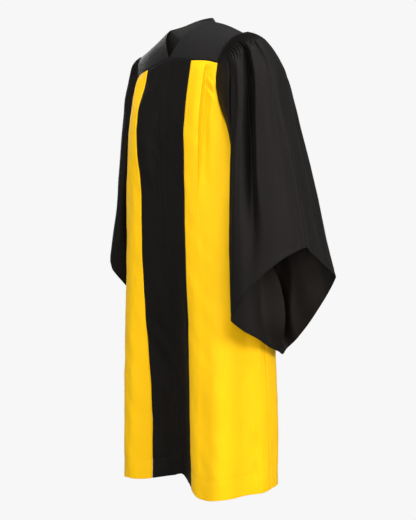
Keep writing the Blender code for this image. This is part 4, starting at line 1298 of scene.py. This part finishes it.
FRONT_STITCH = 0.012
NECK_STITCH = 0.006
NECK_STITCH_STOP = 0.002
PANEL_SEAMS = {"first_row": 1, "first_column": 1, "last_column": 1}
black_lines, yellow_lines = [], []
for side, sign in SIDES.items():
    yoke_node = f"yoke_front_{side}"
    center = sewn(front_center(sign), {"first_row": 1, "last_column": 1}, HEM_DEPTH)
    put(f"front_center_{side}", center, black_cloth)
    black_lines += [stitch_line(center, "first_column", FRONT_STITCH), stitch_line(center, "last_row", HEM_DEPTH)]
    panel = sewn(front_side(sign), PANEL_SEAMS, HEM_DEPTH)
    put(f"front_side_{side}", panel, yellow_cloth)
    yellow_lines.append(stitch_line(panel, "last_row", HEM_DEPTH))
    yoke = sewn(leaning(mirrored(yoke_front(), sign)), {"first_row": 1, "last_row": 1, "last_column": 1})
    put(yoke_node, yoke, painted_light_yoke_cloth)
    black_lines.append(stitch_line(yoke, "first_column", NECK_STITCH))
    worn_sleeve = sewn(mirrored(sleeve(side), sign), {"first_row": 1}, SLEEVE_HEM_DEPTH)
    put(f"sleeve_{side}", worn_sleeve, black_cloth, closed=True)
    black_lines.append(stitch_line(worn_sleeve, "last_row", SLEEVE_HEM_DEPTH))
back = sewn(back_panel(), PANEL_SEAMS, HEM_DEPTH)
put("back_panel", back, yellow_cloth)
yellow_lines.append(stitch_line(back, "last_row", HEM_DEPTH))
back_yoke = yoke_back()
on_shoulder = (np.abs(back_yoke[0][-1:, :, 0]) > NECK_SIDE[0]).astype(float)
back_yoke = sewn(leaning(back_yoke), {**PANEL_SEAMS, "last_row": on_shoulder})
put("yoke_back", back_yoke, painted_light_yoke_cloth)
neck_line = stitch_line(back_yoke, "last_row", NECK_STITCH)
black_lines.append(neck_line[np.abs(neck_line[:, 0]) < NECK_SIDE[0] - NECK_STITCH_STOP])
tape = sewn(zip_tape(), {"first_column": 0, "last_column": 0})
put("zip_tape", tape, tape_cloth)


# Stitches and zip coil: one small shape repeated along lines
def repeated(name, lines, sizes, material):
    """Place a small rounded shape along lines with a Geometry Nodes tree, and keep the result as a plain mesh."""
    starts = np.cumsum([0] + [len(line) for line in lines])
    edges = [(i, i + 1) for start, end in zip(starts, starts[1:]) for i in range(start, end - 1)]
    mesh = bpy.data.meshes.new(name)
    mesh.from_pydata(np.concatenate(lines).tolist(), edges, [])
    piece = linked(name, mesh)
    tree = bpy.data.node_groups.new(name, "GeometryNodeTree")
    nodes, interface = Nodes(tree), tree.interface
    interface.new_socket("Geometry", in_out="INPUT", socket_type="NodeSocketGeometry")
    sockets = {size: interface.new_socket(size, in_out="INPUT", socket_type="NodeSocketFloat") for size in sizes}
    interface.new_socket("Geometry", in_out="OUTPUT", socket_type="NodeSocketGeometry")
    entry = tree.nodes.new("NodeGroupInput")
    source = {socket.name: Value(nodes, socket) for socket in entry.outputs}
    curve = nodes.node("GeometryNodeMeshToCurve", {0: source["Geometry"]})
    points = nodes.node("GeometryNodeCurveToPoints", {"Curve": curve, "Length": source["Pitch"]}, {"mode": "LENGTH"})
    uneven_size = nodes.node(
        "FunctionNodeRandomValue", {2: SMALLEST, 3: LARGEST, "Seed": SIZE_SEED}, {"data_type": "FLOAT"}, output=1
    )
    scale = nodes.node("ShaderNodeCombineXYZ", {
        0: source["Height"] * 0.5, 1: source["Width"] * 0.5, 2: source["Length"] * uneven_size * 0.5,
    })
    placed = nodes.node("GeometryNodeInstanceOnPoints", {
        "Points": points,
        "Instance": nodes.node("GeometryNodeMeshIcoSphere", {"Radius": 1.0, "Subdivisions": 1}),
        "Rotation": Value(nodes, points.socket.node.outputs["Rotation"]),
        "Scale": scale,
    })
    solid = nodes.node("GeometryNodeRealizeInstances", {0: placed})
    colored = nodes.node("GeometryNodeSetMaterial", {0: solid, "Material": material})
    nodes.join(colored, tree.nodes.new("NodeGroupOutput").inputs[0])
    modifier = piece.modifiers.new(name, "NODES")
    modifier.node_group = tree
    for size, value in sizes.items():
        modifier[sockets[size].identifier] = value
    evaluated = piece.evaluated_get(bpy.context.evaluated_depsgraph_get())
    plain_mesh = bpy.data.meshes.new_from_object(evaluated)
    piece.modifiers.clear()
    piece.data = plain_mesh
    plain_mesh.shade_smooth()
    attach(piece, "root")


STITCH = {"Pitch": 0.0032, "Length": 0.0027, "Width": 0.0005, "Height": 0.0004}
COIL = {"Pitch": 0.0013, "Length": 0.0010, "Width": 0.0030, "Height": 0.0011}
SMALLEST, LARGEST, SIZE_SEED = 0.90, 1.06, 5
COIL_END = 0.004
COIL_POINTS = 300
repeated("black_stitches", black_lines, STITCH, black_thread)
repeated("yellow_stitches", yellow_lines, STITCH, yellow_thread)
coil_height = np.linspace(ZIP_TOP - COIL_END, ZIP_BOTTOM + COIL_END, COIL_POINTS)
coil_points, coil_normals = body_cloth(0 * coil_height, coil_height)
coil_line = coil_points - coil_normals * (2 * CLOTH + ZIP_GAP + COIL["Height"] / 2)
repeated("zip_coil", [coil_line], COIL, coil_black)

# Stage, light and camera, as in the photograph
BACKGROUND = 0.93
SKY_ABOVE = 0.42
SKY_BELOW = 0.20
FLOOR_HEIGHT = -1.62
FLOOR_REACH = 14.0
CAMERA_PLACE = (1.6836, -1.4959, -0.568)
CAMERA_TURN = math.radians(47)
SENSOR_HEIGHT = 36
FOCAL_PIXELS = 792
FRAME_HEIGHT = 520
HORIZON_UP = 40
AIM = np.array([0.0, 0.0, -0.60])

corners = np.array([(-1, -1), (1, -1), (1, 1), (-1, 1)]) * FLOOR_REACH
floor_finish = finish("pale floor", {
    "Base Color": (0, 0, 0, 1), "Roughness": 1.0, "Specular IOR Level": 0.0,
    "Emission Color": (1, 1, 1, 1), "Emission Strength": BACKGROUND,
})[0]
floor = mesh_object("floor", np.column_stack([corners, np.full(4, FLOOR_HEIGHT)]), [[0, 1, 2, 3]], floor_finish)
floor.visible_diffuse = floor.visible_glossy = False

world = bpy.data.worlds.new("studio")
world.use_nodes = True
background = world.node_tree.nodes["Background"].inputs
sky = Nodes(world.node_tree)
seen = sky.node("ShaderNodeLightPath", output="Is Camera Ray")
upward = sky.node("ShaderNodeSeparateXYZ", {0: sky.node("ShaderNodeTexCoord", output="Generated")}, output="Z")
strength = (upward + 1) * (0.5 * (SKY_ABOVE - SKY_BELOW)) + SKY_BELOW
sky.join(seen * BACKGROUND + (1 - seen) * strength, background["Strength"])
background["Color"].default_value = (1, 1, 1, 1)
bpy.context.scene.world = world

camera = linked("camera", bpy.data.cameras.new("camera"))
camera.location = CAMERA_PLACE
camera.rotation_euler = (math.pi / 2, 0, CAMERA_TURN)
camera.data.sensor_fit = "VERTICAL"
camera.data.sensor_height = SENSOR_HEIGHT
camera.data.lens = SENSOR_HEIGHT * FOCAL_PIXELS / FRAME_HEIGHT
camera.data.shift_y = -HORIZON_UP / FRAME_HEIGHT
bpy.context.scene.camera = camera
bpy.context.scene.view_settings.view_transform = "Standard"

# Soft square lights: how far right, towards the camera and up from the aim, then size, power and colour
WHITE, WARM = (1, 1, 1), (1, 0.60, 0.25)
LIGHTS = {
    "key": (2.3, 1.7, 0.8, 1.2, 66, WHITE),
    "warm": (1.3, 2.4, -1.5, 1.4, 20, WARM),
    "front": (-0.3, 2.9, 0.15, 1.0, 42, WHITE),
    "fill": (-2.0, 1.9, 0.4, 1.5, 34, WHITE),
    "top": (0.6, 1.2, 2.5, 1.4, 72, WHITE),
    "back": (-0.8, -2.4, 1.2, 1.6, 46, WHITE),
}
to_right = np.array([math.cos(CAMERA_TURN), math.sin(CAMERA_TURN), 0])
to_camera = np.array([math.sin(CAMERA_TURN), -math.cos(CAMERA_TURN), 0])
for name, (right, toward, up, size, power, color) in LIGHTS.items():
    place = AIM + right * to_right + toward * to_camera + np.array([0, 0, up])
    lamp = linked(name, bpy.data.lights.new(name, "AREA"))
    lamp.data.size, lamp.data.energy, lamp.data.color = size, power, color
    lamp.location = place
    lamp.rotation_euler = Vector(AIM - place).to_track_quat("-Z", "Y").to_euler()

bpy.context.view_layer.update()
